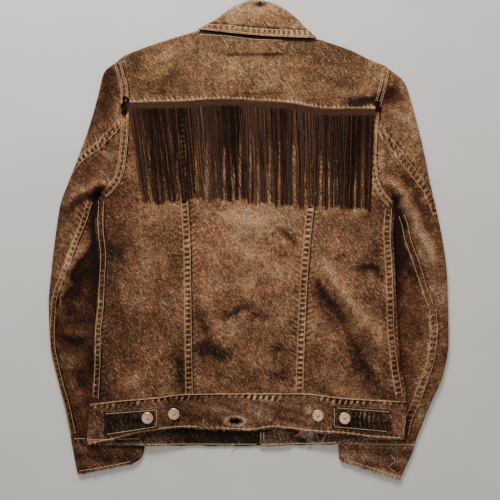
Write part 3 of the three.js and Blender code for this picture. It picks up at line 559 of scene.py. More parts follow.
def yoke_pucker(x, y):
    """Height and wear of the slanting puckers that rise from the stitches above the fringe."""
    above = y - yoke_seam(x)
    reach = 7 + 4 * np.sin(x / 11) * np.sin(x / 3.7 + 1)
    near = ease(above / 1.5) * ease((reach - above) / 6)
    wave = np.sin(2 * math.pi * (x + 0.55 * above) / 6.2 + 1.3 * np.sin(x / 13))
    line = bell(above - 1.4, 0.8)
    return 0.35 * near * wave, near * (0.6 * wave + 0.14) + 0.3 * line


def band_pucker(x, y):
    """Height and wear of the slanting puckers under the waistband's top stitches and above its hem."""
    below = waist_seam(x) - y
    above = y - back_hem(x)
    rungs = ladder(x * 0.86 + 0.35 * below, 2.4)
    reach = 9.5 + 2.5 * np.sin(x / 17) + 1.5 * np.sin(x / 5.3 + 1)
    near = ease((below - 2.2) / 1.0) * ease((reach - below) / 3)
    hem = ease(above / 1.5) * ease((7 - above) / 3) * ladder(x + 3, 5.1)
    row = bell(below - 1.3, 0.8) + 0.7 * bell(above - 2.6, 0.9)
    # Painted shade: a dark line in the groove under the top stitches
    groove = bell(below - 2.7, 0.6)
    height = 0.45 * near * rungs + 0.2 * hem - 0.25 * groove
    strength = 0.65 + 0.35 * np.sin(x / 21 + 1)
    folds = 0.10 * np.sin(x / 8 + 0.35 * y + np.sin(x / 19)) * np.sin(y / 7 + x / 31)
    wear = strength * near * (0.85 * bars(rungs) - 0.36)
    wear = wear + 0.2 * hem + 0.5 * row - 0.5 * groove + folds
    return height, wear


def band_height(x, y):
    waver = np.sin(x / 14 + 0.6 * np.sin(y / 9)) + 0.5 * np.sin(x / 6 + 0.4 * y)
    slack = 0.35 * waver * ease((in_from_outline(x, y) - 3) / 10)
    return layer_height(x, y, band_upper(x, y), band_lower(x, y), 1) + band_pucker(x, y)[0] + slack


def band_front_height(x, y):
    return layer_height(x, y, band_upper(x, y), band_lower(x, y), -1)


def underlap(x, lift):
    return lift * ease((66 - x) / 12)


# Meshes

ROLL_STEPS = np.array([0, 0.03, 0.1, 0.22, 0.4, 0.65, 1])
# Radius of the roll at a folded edge of a panel, a band and a tab
PANEL_ROLL = 2.6
BAND_ROLL = 3.2
TAB_ROLL = 1.5
GRAIN_SHIFT = 0.37  # metres between the places of two pieces in the pattern of the denim


def mesh_piece(name, points, faces, material, slot, smooth_angle=50, **attributes):
    """A mesh object from points in millimetres, with named values at its points, which rides on the root."""
    mesh = bpy.data.meshes.new(name)
    mesh.from_pydata((np.asarray(points) * MM).tolist(), [], faces)
    mesh.polygons.foreach_set("use_smooth", np.ones(len(mesh.polygons), bool))
    mesh.set_sharp_from_angle(angle=math.radians(smooth_angle))
    for key, values in attributes.items():
        values = np.asarray(values, np.float32)
        if values.ndim == 2:
            mesh.attributes.new(key, "FLOAT_VECTOR", "POINT").data.foreach_set("vector", values.ravel())
        else:
            mesh.attributes.new(key, "FLOAT", "POINT").data.foreach_set("value", values)
    mesh.materials.append(material)
    piece = placed(name, mesh)
    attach(piece, "root")
    return piece


def facing_out(points, quads):
    """The quads, all turned round if they enclose a negative volume."""
    a, b, c, d = (points[quads[:, k]] for k in range(4))
    volume = np.einsum("ij,ij->", a, np.cross(b, c)) + np.einsum("ij,ij->", a, np.cross(c, d))
    return quads if volume > 0 else quads[:, ::-1]


def surface_normals(grid, ring):
    if ring:
        across = np.roll(grid, -1, axis=1) - np.roll(grid, 1, axis=1)
    else:
        across = np.gradient(grid, axis=1)
    normal = np.cross(across, np.gradient(grid, axis=0))
    return normal / np.linalg.norm(normal, axis=-1, keepdims=True)


def wall_quads(rows, columns, ring, keep):
    """Quads of a closed wall: both sides, and a rim wherever a kept cell has no kept neighbour."""
    index = np.arange(rows * columns).reshape(rows, columns)
    if ring:
        index = np.hstack([index, index[:, :1]])
    a, b, c, d = index[:-1, :-1], index[:-1, 1:], index[1:, 1:], index[1:, :-1]
    if keep is None:
        keep = np.ones(a.shape, bool)
    around = np.pad(keep, ((0, 0), (1, 1)), mode="wrap" if ring else "constant")
    around = np.pad(around, ((1, 1), (0, 0)))
    shift = rows * columns
    top = np.stack([a, b, c, d], axis=-1)[keep]
    quads = [top, top[:, ::-1] + shift]
    beside = [
        (a, b, around[:-2, 1:-1]),
        (b, c, around[1:-1, 2:]),
        (c, d, around[2:, 1:-1]),
        (d, a, around[1:-1, :-2]),
    ]
    for start, end, neighbour in beside:
        open_edge = keep & ~neighbour
        s, e = start[open_edge], end[open_edge]
        quads.append(np.stack([e, s, s + shift, e + shift], axis=-1))
    return np.concatenate(quads)


def cloth_wall(name, grid, thickness, material, slot, wear, grain_angle=0.0, ring=False, keep=None):
    """A closed wall of cloth around a grid of middle points."""
    rows, columns = grid.shape[:2]
    normal = surface_normals(grid, ring) * thickness / 2
    points = np.concatenate([(grid + normal).reshape(-1, 3), (grid - normal).reshape(-1, 3)])
    quads = facing_out(points, wall_quads(rows, columns, ring, keep))
    used = np.unique(quads)
    renumbered = np.zeros(len(points), int)
    renumbered[used] = np.arange(len(used))
    turn = np.array([
        [math.cos(grain_angle), -math.sin(grain_angle), 0],
        [math.sin(grain_angle), math.cos(grain_angle), 0],
        [0, 0, 1],
    ])
    seed = sum(ord(letter) for letter in name) % 17
    grain = (points @ turn.T) * MM + seed * GRAIN_SHIFT
    doubled = np.concatenate([np.ravel(wear), np.ravel(wear)])
    return mesh_piece(
        name, points[used], renumbered[quads].tolist(), material, slot, grain=grain[used], wear=doubled[used]
    )


def shares(steps, length=1.0, roll_at_start=False, roll_at_end=False, radius=PANEL_ROLL):
    """Shares from 0 to 1 in even steps, with closer ones near an end that rolls over a fold."""
    near = ROLL_STEPS * radius / length
    start = near if roll_at_start else near[:1]
    end = 1 - near[::-1] if roll_at_end else 1 - near[:1]
    return np.concatenate([start, np.linspace(start[-1], end[0], steps + 1)[1:-1], end])


def panel_grid(rows, columns, bottom, top, left, right, height, meeting=MEETING):
    """Middle points of a panel that lies between four edges."""
    v, u = rows[:, None], columns[None, :]
    x = np.zeros((len(rows), len(columns)))
    for _ in range(12):
        y = lerp(bottom(x) + meeting / 2, top(x) - meeting / 2, v)
        x = lerp(left(y), right(y), u)
    return np.stack([x, y, height(x, y)], axis=-1)


def tubes(name, paths, radii, sides, material, slot, wear):
    """Closed thin tubes along paths of equal point counts, joined in one piece."""
    count, length = paths.shape[:2]
    tangent = np.gradient(paths, axis=1)
    tangent /= np.linalg.norm(tangent, axis=-1, keepdims=True)
    side = np.cross(tangent, [0, 0, 1])
    side /= np.maximum(np.linalg.norm(side, axis=-1, keepdims=True), 1e-9)
    up = np.cross(side, tangent)
    angles = 2 * math.pi * (np.arange(sides) + 0.5) / sides
    ring = side[:, :, None] * np.cos(angles)[:, None] + up[:, :, None] * np.sin(angles)[:, None]
    radii = np.broadcast_to(radii, (count, length))[:, :, None, None]
    points = (paths[:, :, None] + ring * radii).reshape(-1, 3)
    first = (np.arange(count) * length * sides)[:, None, None]
    i = np.arange(length - 1)[None, :, None] * sides
    j = np.arange(sides)[None, None, :]
    k = (j + 1) % sides
    near, far = first + i, first + i + sides
    quads = np.stack(np.broadcast_arrays(near + j, near + k, far + k, far + j), -1)
    faces = quads.reshape(-1, 4)[:, ::-1].tolist()
    starts = np.arange(count)[:, None] * length * sides + np.arange(sides)
    faces += starts.tolist() + (starts[:, ::-1] + (length - 1) * sides).tolist()
    per_point = np.repeat(np.broadcast_to(wear, (count,)), length * sides)
    along = np.repeat(paths.reshape(-1, 3), sides, axis=0)
    return mesh_piece(name, points, faces, material, slot, 80, grain=along * MM, wear=per_point)


# Materials

# Where the five tones of denim and the three of thread lie on a scale of wear and painted shade from 0 to 1
TONE_PLACES = (0.0, 0.27, 0.5, 0.73, 1.0)
FIBRE_PLACES = (0.15, 0.55, 1.0)
# Sizes in metres of one speck of the twill and of one long pale slash, and the turn between them in degrees
STREAK_SIZE = (0.0040, 0.0014, 0.0025)
SLASH_SIZE = (0.013, 0.0011, 0.004)
SLASH_TURN = 12
# Noise of the denim, in turns for each metre, from the finest to the broadest
FINE_NOISE, SPOT_NOISE, PATCH_NOISE, CLOUD_NOISE = 560, 100, 38, 24


class Shader:
    """A material whose nodes are added one by one."""

    def __init__(self, name):
        self.material = bpy.data.materials.new(name)
        self.material.use_nodes = True
        self.tree = self.material.node_tree
        self.tree.nodes.clear()

    def add(self, kind, inputs=(), **settings):
        node = self.tree.nodes.new(kind)
        for key, value in settings.items():
            setattr(node, key, value)
        for socket, value in dict(inputs).items():
            if isinstance(value, bpy.types.NodeSocket):
                self.tree.links.new(value, node.inputs[socket])
            else:
                node.inputs[socket].default_value = value
        return node

    def attribute(self, name, output):
        return self.add("ShaderNodeAttribute", attribute_name=name).outputs[output]

    def math(self, operation, a, b):
        return self.add("ShaderNodeMath", {0: a, 1: b}, operation=operation).outputs[0]

    def mapped(self, vector, size, angle=0.0):
        inputs = {"Vector": vector, "Scale": size, "Rotation": (0, 0, angle)}
        return self.add("ShaderNodeMapping", inputs, vector_type="TEXTURE").outputs[0]

    def noise(self, vector, scale, detail=3.0, roughness=0.55):
        inputs = {"Vector": vector, "Scale": scale, "Detail": detail, "Roughness": roughness}
        return self.add("ShaderNodeTexNoise", inputs).outputs[0]

    def ramp(self, factor, stops):
        node = self.add("ShaderNodeValToRGB", {"Fac": factor})
        elements = node.color_ramp.elements
        while len(elements) < len(stops):
            elements.new(0.5)
        for element, (place, colour) in zip(elements, stops):
            element.position = place
            element.color = (*colour, 1)
        return node.outputs[0]

    def bump(self, height, distance, strength=1.0):
        inputs = {"Height": height, "Distance": distance, "Strength": strength}
        return self.add("ShaderNodeBump", inputs).outputs[0]

    def finish(self, colour, normal, **constants):
        inputs = {"Base Color": colour, "Normal": normal}
        inputs.update({key.replace("_", " "): value for key, value in constants.items()})
        shader = self.add("ShaderNodeBsdfPrincipled", inputs)
        self.add("ShaderNodeOutputMaterial", {"Surface": shader.outputs[0]})
        return self.material


def mixed_wash(shader, grain, wear, level, streaks, speck, spots, clouds):
    """The worn places and painted shade at each point plus noise of four sizes, each taken round its middle,
    and the level.
    """
    parts = [
        (streaks, speck),
        (shader.noise(grain, FINE_NOISE, 2.0, 0.7), speck * 0.6),
        (shader.noise(grain, SPOT_NOISE, 3.0, 0.6), spots),
        (shader.noise(grain, CLOUD_NOISE, 2.0, 0.5), clouds),
    ]
    total = shader.math("ADD", wear, level - 0.5 * sum(weight for _, weight in parts))
    for value, weight in parts:
        total = shader.math("ADD", total, shader.math("MULTIPLY", value, weight))
    return total


def denim(name, tones, level=0.45, speck=1.42, spots=0.5, clouds=0.62, streak_angle=-45, greying=0.7):
    """Stone-washed twill: slanting specks, spots and clouds of fading, with the worn places and painted shade
    given at each point.
    """
    shader = Shader(name)
    grain = shader.attribute("grain", "Vector")
    # The value at each point holds wear together with painted shade and painted highlight
    wear = shader.attribute("wear", "Fac")
    streaks = shader.noise(shader.mapped(grain, STREAK_SIZE, math.radians(streak_angle)), 1.0, 2.5, 0.7)
    total = mixed_wash(shader, grain, wear, level, streaks, speck, spots, clouds)
    stretched = shader.mapped(grain, SLASH_SIZE, math.radians(streak_angle - SLASH_TURN))
    slashes = shader.ramp(shader.noise(stretched, 1.0, 1.0), [(0.62, (0, 0, 0)), (0.76, (0.4, 0.4, 0.4))])
    total = shader.math("ADD", total, slashes)
    reddish = shader.ramp(total, list(zip(TONE_PLACES, tones)))
    greyed = shader.ramp(total, list(zip(TONE_PLACES, [greyer(tone) for tone in tones])))
    patches = shader.noise(grain, PATCH_NOISE, 2.0, 0.6)
    share = shader.ramp(patches, [(0.42, (0, 0, 0)), (0.58, (greying, greying, greying))])
    colour = shader.add("ShaderNodeMix", {0: share, 6: reddish, 7: greyed}, data_type="RGBA").outputs[2]
    twill_inputs = {"Vector": grain, "Scale": 260.0, "Distortion": 2.0, "Detail": 2.0}
    twill = shader.add("ShaderNodeTexWave", twill_inputs, bands_direction="DIAGONAL").outputs[1]
    height = shader.math("ADD", shader.math("MULTIPLY", twill, 0.45), streaks)
    normal = shader.bump(height, 0.0008, 0.9)
    return shader.finish(colour, normal, Roughness=0.92, Sheen_Weight=0.03, Specular_IOR_Level=0.1)


def greyer(tone):
    """The same tone where the wash took the red out."""
    red, green, blue = tone
    return red * 0.88, green * 1.08, blue * 1.16


def fibre(name, tones, roughness):
    """Thread, whose shade is given at each point, with fine unevenness along it."""
    shader = Shader(name)
    grain = shader.attribute("grain", "Vector")
    wear = shader.attribute("wear", "Fac")
    uneven = shader.noise(grain, 420, 2.0)
    total = shader.math("ADD", wear, shader.math("MULTIPLY", uneven, 0.5))
    colour = shader.ramp(total, list(zip(FIBRE_PLACES, tones)))
    normal = shader.bump(uneven, 0.0003, 0.6)
    return shader.finish(colour, normal, Roughness=roughness, Specular_IOR_Level=0.05)


def worn_metal(name):
    """Tarnished pale shank metal with fine pits."""
    shader = Shader(name)
    grain = shader.attribute("grain", "Vector")
    wear = shader.attribute("wear", "Fac")
    tarnish = shader.noise(grain, 500, 4.0, 0.6)
    total = shader.math("ADD", wear, tarnish)
    stops = [(0.25, (0.20, 0.10, 0.05)), (0.5, (0.74, 0.47, 0.30)), (0.9, (0.94, 0.68, 0.46))]
    colour = shader.ramp(total, stops)
    roughness = shader.math("MULTIPLY", tarnish, 0.7)
    normal = shader.bump(tarnish, 0.0002, 0.5)
    return shader.finish(colour, normal, Metallic=0.85, Roughness=roughness)


# Colours from unworn to worn; painted shade takes the dark end and painted highlight the pale end
TONES = {
    "body": [
        (0.013, 0.006, 0.004), (0.072, 0.029, 0.013), (0.202, 0.084, 0.038), (0.40, 0.19, 0.096),
        (0.68, 0.39, 0.22),
    ],
    "yoke": [
        (0.018, 0.009, 0.005), (0.088, 0.039, 0.017), (0.205, 0.094, 0.041), (0.39, 0.20, 0.094),
        (0.66, 0.41, 0.22),
    ],
    "sleeve": [
        (0.013, 0.005, 0.003), (0.060, 0.020, 0.009), (0.140, 0.053, 0.024), (0.29, 0.14, 0.066),
        (0.55, 0.33, 0.18),
    ],
    "band": [
        (0.010, 0.004, 0.003), (0.058, 0.022, 0.011), (0.150, 0.062, 0.031), (0.31, 0.155, 0.084),
        (0.58, 0.38, 0.22),
    ],
    # The front waistbands' inner face: its dark tones are partly painted shade, where it lies low beside the
    # back's hem
    "inside": [
        (0.004, 0.002, 0.002), (0.010, 0.005, 0.003), (0.024, 0.011, 0.007), (0.085, 0.043, 0.025),
        (0.34, 0.20, 0.12),
    ],
    "tab": [
        (0.004, 0.002, 0.002), (0.013, 0.006, 0.004), (0.032, 0.014, 0.008), (0.13, 0.062, 0.035),
        (0.38, 0.23, 0.14),
    ],
    "fringe": [(0.013, 0.006, 0.004), (0.088, 0.042, 0.025), (0.28, 0.14, 0.078)],
    "tan": [(0.24, 0.13, 0.06), (0.58, 0.36, 0.18), (0.80, 0.56, 0.32)],
    "pale": [(0.12, 0.07, 0.04), (0.40, 0.27, 0.17), (0.66, 0.50, 0.34)],
}

body_denim = denim("body_denim", TONES["body"], 0.47)
yoke_denim = denim("yoke_denim", TONES["yoke"])
sleeve_denim = denim("sleeve_denim", TONES["sleeve"], 0.51, 1.25, streak_angle=-35)
band_denim = denim("band_denim", TONES["band"], 0.52)
inside_denim = denim("inside_denim", TONES["inside"], 0.38)
tab_denim = denim("tab_denim", TONES["tab"])
fringe_thread = fibre("fringe_thread", TONES["fringe"], 0.95)
tan_thread = fibre("tan_thread", TONES["tan"], 0.8)
pale_fibre = fibre("pale_fibre", TONES["pale"], 0.9)
button_metal = worn_metal("button_metal")

# Levels of the collar: left, right, height of each end, rise of the back, drop of the front
STAND_FOOT = (STAND_LEFT_X, STAND_RIGHT_X, 305.5, 294, 8, NECK_DROP_FRONT)
STAND_TOP = (-40, 75, 321, 310, 30, 51)
LEAF_TOP = (-43, 78, 321.8, 311, 29, 52)
LEAF_MIDDLE = (-59, 89, 314, 302.5, 13, 77)
LEAF_EDGE = (NECK_LEFT_X, NECK_RIGHT_X, 306.5, 293.5, -3, LEAF_DROP_FRONT)
LEAF_EDGE_LEFT_Y, LEAF_EDGE_RIGHT_Y, LEAF_EDGE_RISE = LEAF_EDGE[2:5]

# Visual pieces by the node that each stands for
pieces = {}


def stands_for(node, piece):
    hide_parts(node)
    pieces[node] = piece


def wash_and_painted_falloff(x, y):
    """Broad tone of the body: paler in the middle of the back and on the yoke from fading, darker at the
    sides, and darker towards the hem as painted falloff of the light.
    """
    middle = np.exp(-(((x - 15) / 75) ** 2) - ((y - 25) / 85) ** 2)
    # Painted shade: darker towards the hem, for the light falling off away from the lamp above the collar
    lower = 0.7 * ease((-60 - y) / 130)
    sides = ease((np.abs(x) - 150) / 60) * ease((190 - y) / 30)
    return 0.13 * middle - 0.07 * lower - 0.11 * sides - 0.04 * (x < -92)


def body_wear(x, y):
    """Worn places, painted shade and painted highlight of the back: seams, creases and the yoke's puckers,
    shade strokes, and troughs made darker and crests paler, over the broad tone.
    """
    height = crease_height(x, y) + 0.35 * fold_height(x, y)
    # Painted shade and highlight: shade strokes, and troughs of creases and folds darker and their crests
    # paler, partly as wear and partly as painted shade and highlight
    broad = wash_and_painted_falloff(x, y) + shade(x, y) + 0.04 * np.clip(height, -3, 3)
    return broad + seam_relief(x, y)[1] + yoke_pucker(x, y)[1]


def collar_shadow(x, y):
    """Painted shadow of the collar's leaf on the yoke, beside its edge."""
    share = np.clip(across_neck(x), 0, 1)
    beyond = lerp(LEAF_EDGE_LEFT_Y, LEAF_EDGE_RIGHT_Y, share) + LEAF_EDGE_RISE * arch(share) - y
    return -1.3 * in_neck(x) * np.exp(-((np.maximum(beyond, 0) / 5.0) ** 4)) * arch(share) ** 0.3


def pale_place(x, y):
    """A slightly paler rectangle on the yoke, between a dark line and a row of dark dots."""
    inside = ease((38 - np.abs(x - 8)) / 3) * ease((27 - np.abs(y - 241)) / 3)
    above = bell(y - 269.5, 1.8) * ease((44 - np.abs(x - 9)) / 6)
    dots = bell(y - 213, 1.0) * ease((40 - np.abs(x - 16)) / 6) * (0.5 + 0.5 * np.sin(x * 1.7))
    return 0.10 * inside - 0.38 * above - 0.3 * dots


def below_yoke(columns, left, right):
    return panel_grid(shares(215), columns, waist_seam, yoke_seam, left, right, back_height)


def add_back():
    yoke_rows, yoke_columns = shares(50, 100, False, True), shares(190)
    panels = {
        "back_yoke": panel_grid(
            yoke_rows, yoke_columns, yoke_seam, back_top, body_left, body_right, back_height
        ),
        "back_centre": below_yoke(shares(88), left_princess, right_princess),
        "back_side_left": below_yoke(shares(62, 130, True, False), body_left, left_princess),
        "back_side_right": below_yoke(shares(62, 130, False, True), right_princess, body_right),
    }
    for node, grid in panels.items():
        x, y = grid[..., 0], grid[..., 1]
        wear = body_wear(x, y) + (pale_place(x, y) + collar_shadow(x, y) if node == "back_yoke" else 0)
        material = yoke_denim if node == "back_yoke" else body_denim
        stands_for(node, cloth_wall(f"{node}_cloth", grid, CLOTH, material, "worn_denim", wear))


# Ragged holes in the waistband: middle, half width and half height
HOLES = [(-20, -263, 12, 5.8), (-66, -265, 2.2, 3.8)]


def in_hole(x, y):
    inside = np.zeros(np.shape(x), bool)
    for cx, cy, half_x, half_y in HOLES:
        ragged = 1 + 0.16 * np.sin(x * 1.9 + cx) + 0.14 * np.sin(y * 3.1)
        inside |= (np.abs((x - cx) / half_x) ** 2.6 + np.abs((y - cy) / half_y) ** 2.2) < ragged
    return inside


def frayed_hem(x):
    """The back hem, eaten away where it is frayed."""
    bites = [(-67, 7, 3.4), (-47, 8, 3.0), (-57, 3, 1.5), (62, 6, 2.2), (73, 5, 3.0), (85, 3, 1.8)]
    ragged = sum(depth * bell(x - at, width) for at, width, depth in bites)
    return back_hem(x) + ragged * (0.7 + 0.3 * np.sin(x * 2.1)) + 0.25 * np.sin(x * 0.9) * np.sin(x * 0.31)


def wavy_front_hem(x):
    return front_hem(x) + 0.5 * np.sin(x / 7) + 0.35 * np.sin(x / 2.9 + 1) * np.sin(x / 17)


def add_back_waistband():
    columns = shares(300, 455, True, True, BAND_ROLL)
    grid = panel_grid(shares(36), columns, frayed_hem, waist_seam, left_edge, right_edge, band_height)
    x, y = grid[..., 0], grid[..., 1]
    middle = grid[:-1, :-1] + (grid[1:, 1:] - grid[:-1, :-1]) / 2
    keep = ~in_hole(middle[..., 0], middle[..., 1])
    rim = np.zeros(x.shape)
    for cx, cy, half_x, half_y in HOLES:
        rim += bell(np.hypot((x - cx) / half_x, (y - cy) / half_y) - 1.15, 0.25)
    darker = 0.16 * bell(x + 92, 26) + 0.14 * bell(x + 205, 26)
    wear = band_pucker(x, y)[1] + 0.4 * rim - 0.05 - darker
    band = cloth_wall("back_waistband_cloth", grid, BAND, band_denim, "worn_denim", wear, keep=keep)
    stands_for("back_waistband", band)


def front_grid(rows, columns, edges, surface, lift):
    """Middle points of a panel of the front, with a lift where it lies over the other one."""
    bottom, top, left, right = edges

    def height(x, y):
        return surface(x, y) + underlap(x, lift)

    return panel_grid(rows, columns, bottom, top, left, right, height)


def add_front_waistbands():
    centre_left, centre_right = straight_edge(CENTRE_EDGE_LEFT_FRONT), straight_edge(CENTRE_EDGE_RIGHT_FRONT)
    sides = {
        "left": (shares(110, 280, True, False, BAND_ROLL), left_edge, centre_left, 0.0),
        "right": (shares(84, 210, False, True, BAND_ROLL), centre_right, right_edge, BAND_UNDERLAP_LIFT),
    }
    for side, (columns, left, right, lift) in sides.items():
        edges = (wavy_front_hem, front_waist_seam, left, right)
        grid = front_grid(shares(22), columns, edges, band_front_height, lift)
        x, y = grid[..., 0], grid[..., 1]
        edge = bell(y - front_hem(x) - 2, 2.2)
        # Painted light: the right band, which lies on top, and the far end of the left band are made paler;
        # the left band between them stays dark as painted shade
        lit = 0.30 * ease((x - 14) / 6) + 0.22 * ease((-85 - x) / 40)
        wear = 0.35 * edge * (0.7 + 0.3 * ladder(x, 1.7)) - 0.05 + lit
        name = f"front_waistband_{side}"
        stands_for(name, cloth_wall(f"{name}_cloth", grid, BAND, inside_denim, "worn_denim", wear))


def add_fronts():
    centre_left, centre_right = straight_edge(CENTRE_EDGE_LEFT_FRONT), straight_edge(CENTRE_EDGE_RIGHT_FRONT)
    sides = {
        "left": (shares(60, 260, True, False), body_left, centre_left, 0.0),
        "right": (shares(48, 200, False, True), centre_right, body_right, UNDERLAP_LIFT),
    }
    for side, (columns, left, right, lift) in sides.items():
        edges = (front_waist_seam, front_top, left, right)
        grid = front_grid(shares(92, 520, False, True), columns, edges, front_height, lift)
        name = f"front_{side}"
        wear = wash_and_painted_falloff(grid[..., 0], grid[..., 1])
        stands_for(name, cloth_wall(f"{name}_cloth", grid, CLOTH, sleeve_denim, "worn_denim", wear))


# Sleeves, cuffs and collar, as flattened tubes

ROLL_SHARE = 0.13
INNER_CROWDING = 1.4
SLEEVE_ROLL = 2.2
CUFF_ROLL = 2.6
SEAM_GAP_TURN = 0.0002  # half of what is left open at a seam of a sleeve
SLEEVE_ROWS = 226
CUFF_ROWS, CUFF_COLUMNS = 22, 150


def column_graph(table, column):
    return graph([(i, row[column]) for i, row in enumerate(table)])


def turn_at(share):
    """Turn round a flattened tube, from the outer edge over the top, for a share of its width."""
    flat = 1 - (1 - np.abs(share)) ** (1 / INNER_CROWDING)
    return np.where(share < 0, -0.5, 0.5) * lerp(ROLL_SHARE, 1 - ROLL_SHARE, flat)


def around_section(turn, width, radius):
    """Place across a section, part of the half height gained, and which side, for a turn round it."""
    t = np.mod(turn, 1)
    upper = t <= 0.5
    q = np.where(upper, t / 0.5, (1 - t) / 0.5)
    start = np.clip(q / ROLL_SHARE, 0, 1) * math.pi / 2
    end = np.clip((1 - q) / ROLL_SHARE, 0, 1) * math.pi / 2
    flat = 1 - (1 - np.clip((q - ROLL_SHARE) / (1 - 2 * ROLL_SHARE), 0, 1)) ** INNER_CROWDING
    distance = np.where(
        q < ROLL_SHARE,
        radius * (1 - np.cos(start)),
        np.where(q > 1 - ROLL_SHARE, width - radius * (1 - np.cos(end)), lerp(radius, width - radius, flat)),
    )
    gained = np.where(q < ROLL_SHARE, np.sin(start), np.where(q > 1 - ROLL_SHARE, np.sin(end), 1))
    return distance, gained, np.where(upper, 1, -1)


def coverage(side, x, y):
    """1 where a sleeve lies under the body or close beside it, 0 away from it."""
    outside = left_edge(y) - x if side == "left" else x - right_edge(y)
    return ease((28 - outside) / 16) * ease((50 - y) / 20)


def sleeve_point(side, step, turn):
    table = SLEEVES[side]
    place = step * (len(table) - 1)
    outer_x, outer_y, inner_x, inner_y = (column_graph(table, k)(place) for k in range(4))
    width = np.hypot(inner_x - outer_x, inner_y - outer_y)
    distance, gained, sign = around_section(turn, width, SLEEVE_ROLL)
    share = distance / width
    y = lerp(outer_y, inner_y, share)
    x = lerp(outer_x, inner_x, share)
    first = table[0]
    armhole_y = lerp(first[1], first[3], share)
    gap = armhole_inset(armhole_y)
    edge = left_edge(armhole_y) - gap if side == "left" else right_edge(armhole_y) + gap
    bow = np.maximum(0, 1 - step * 5) ** 2
    x = x + bow * (edge - lerp(first[0], first[2], share)) * np.minimum(1, arch(share) * 12)
    open_share = 1 - coverage(side, x, y)
    puff = SLEEVE_PUFF * np.minimum(1, arch(share) * 2) * ease(step * 6) * ease((1 - step) * 8)
    relief = (crease_height(x, y) + seam_relief(x, y)[0]) * ease(distance / 8) * ease((width - distance) / 8)
    raised = SLEEVE_MID_OPEN - SLEEVE_MID_COVERED + puff + fold_height(x, y) + relief
    top = np.maximum(SLEEVE_MID_COVERED + open_share * raised, FRONT_MID + 2.2)
    middle, half = (top + FRONT_MID) / 2, (top - FRONT_MID) / 2
    return np.stack(np.broadcast_arrays(x, y, middle + sign * half * gained), axis=-1)


def seam_turn(side, column, place):
    """Turn round the sleeve at which one of its seams lies, for places in the table."""
    return graph([(i, float(turn_at(row[column]))) for i, row in enumerate(SLEEVES[side])])(place)


def sleeve_grid(side, from_column, to_column, rows, columns, whole_turn):
    """Middle points from one seam round to the other."""
    step = np.linspace(0, 1, rows)[:, None]
    place = step * (len(SLEEVES[side]) - 1)
    start, end = seam_turn(side, from_column, place), seam_turn(side, to_column, place) + whole_turn
    across = np.linspace(0, 1, columns)[None, :]
    return sleeve_point(side, step, lerp(start + SEAM_GAP_TURN, end - SEAM_GAP_TURN, across))


def sleeve_wear(grid):
    x, y, z = grid[..., 0], grid[..., 1], grid[..., 2]
    # Only the upward faces take the strokes of painted shade and highlight, the troughs painted darker and
    # crests paler, and the seams
    up = (surface_normals(grid, False)[..., 2] > 0.2) | (z > 3)
    height = crease_height(x, y) + 0.6 * fold_height(x, y)
    beside = np.maximum(np.where(x < 0, body_left(y) - x, x - body_right(y)), 0)
    arm = 0.06 * ease((y - 40) / 120) - 0.06 * ease((-60 - y) / 120)
    # Painted shadow of the body on the sleeve cloth just beside it, weaker towards the cuff
    body_shadow_share = ease((54 - y) / 30) * (0.25 + 0.75 * ease((y + 130) / 70))
    arm = arm - 0.09 * (x < 0) + 0.04 * (x > 0) - 0.55 * body_shadow_share * bell(beside, 11)
    return np.where(up, arm + shade(x, y) + 0.03 * np.clip(height, -3, 4) + seam_relief(x, y)[1], arm)


def add_sleeve(side):
    grain = math.radians(14 if side == "left" else -14)
    ranges = {"under": (BACK_SEAM, UNDERARM_SEAM, 48, 0), "top": (UNDERARM_SEAM, BACK_SEAM, 96, 1)}
    for part, (from_column, to_column, columns, whole_turn) in ranges.items():
        grid = sleeve_grid(side, from_column, to_column, SLEEVE_ROWS, columns, whole_turn)
        name = f"sleeve_{part}_{side}"
        wear = sleeve_wear(grid)
        stands_for(name, cloth_wall(f"{name}_cloth", grid, CLOTH, sleeve_denim, "worn_denim", wear, grain))


def add_cuff(side):
    place = np.linspace(0, len(CUFFS[side]) - 1, CUFF_ROWS)[:, None]
    turn = (np.arange(CUFF_COLUMNS) / CUFF_COLUMNS)[None, :]
    outer_x, outer_y, inner_x, inner_y = (column_graph(CUFFS[side], k)(place) for k in range(4))
    width = np.hypot(inner_x - outer_x, inner_y - outer_y)
    distance, gained, sign = around_section(turn, width, CUFF_ROLL)
    share = distance / width
    down = place / (len(CUFFS[side]) - 1)
    nibbled = 1.3 * down**8 * (np.sin(share * 61) * np.sin(share * 23 + 1) - 0.3)
    x = lerp(outer_x, inner_x, share)
    y = lerp(outer_y, inner_y, share) + nibbled
    middle, half = (CUFF_TOP_MID + BAND / 2) / 2, (CUFF_TOP_MID - BAND / 2) / 2
    swell = 0.3 * (sign > 0) * np.sin(share * 19 + 2) * arch(share) + 0 * place
    grid = np.stack(np.broadcast_arrays(x, y, middle + sign * half * gained + swell), axis=-1)
    worn_edge = 0.30 * ease((down - 0.82) / 0.15) * (0.6 + 0.4 * np.sin(share * 90))
    top_row = 0.2 * ease((0.2 - down) / 0.12) * ladder(share * width, 3.3)
    bands = 0.10 * np.sin(y / 3.5 + x / 40) + 0.06 * np.sin(x / 6 + y / 9)
    wear = np.where(sign > 0, worn_edge + top_row + bands - (0.24 if side == "left" else 0.08), -0.1)
    piece = cloth_wall(f"cuff_{side}_cloth", grid, BAND, band_denim, "worn_denim", wear, ring=True)
    stands_for(f"cuff_{side}", piece)


COLLAR_STAND_HALF = 1.5
COLLAR_LEAF_HALF = 4.35
COLLAR_MID = 5.15
COLLAR_FOLD_RISE = 1.7
COLLAR_ROLL_STRETCH = 2
FRONT_MIDDLE_TURN = -0.25
COLLAR_END_GAP = 0.004
COLLAR_COLUMNS = 260


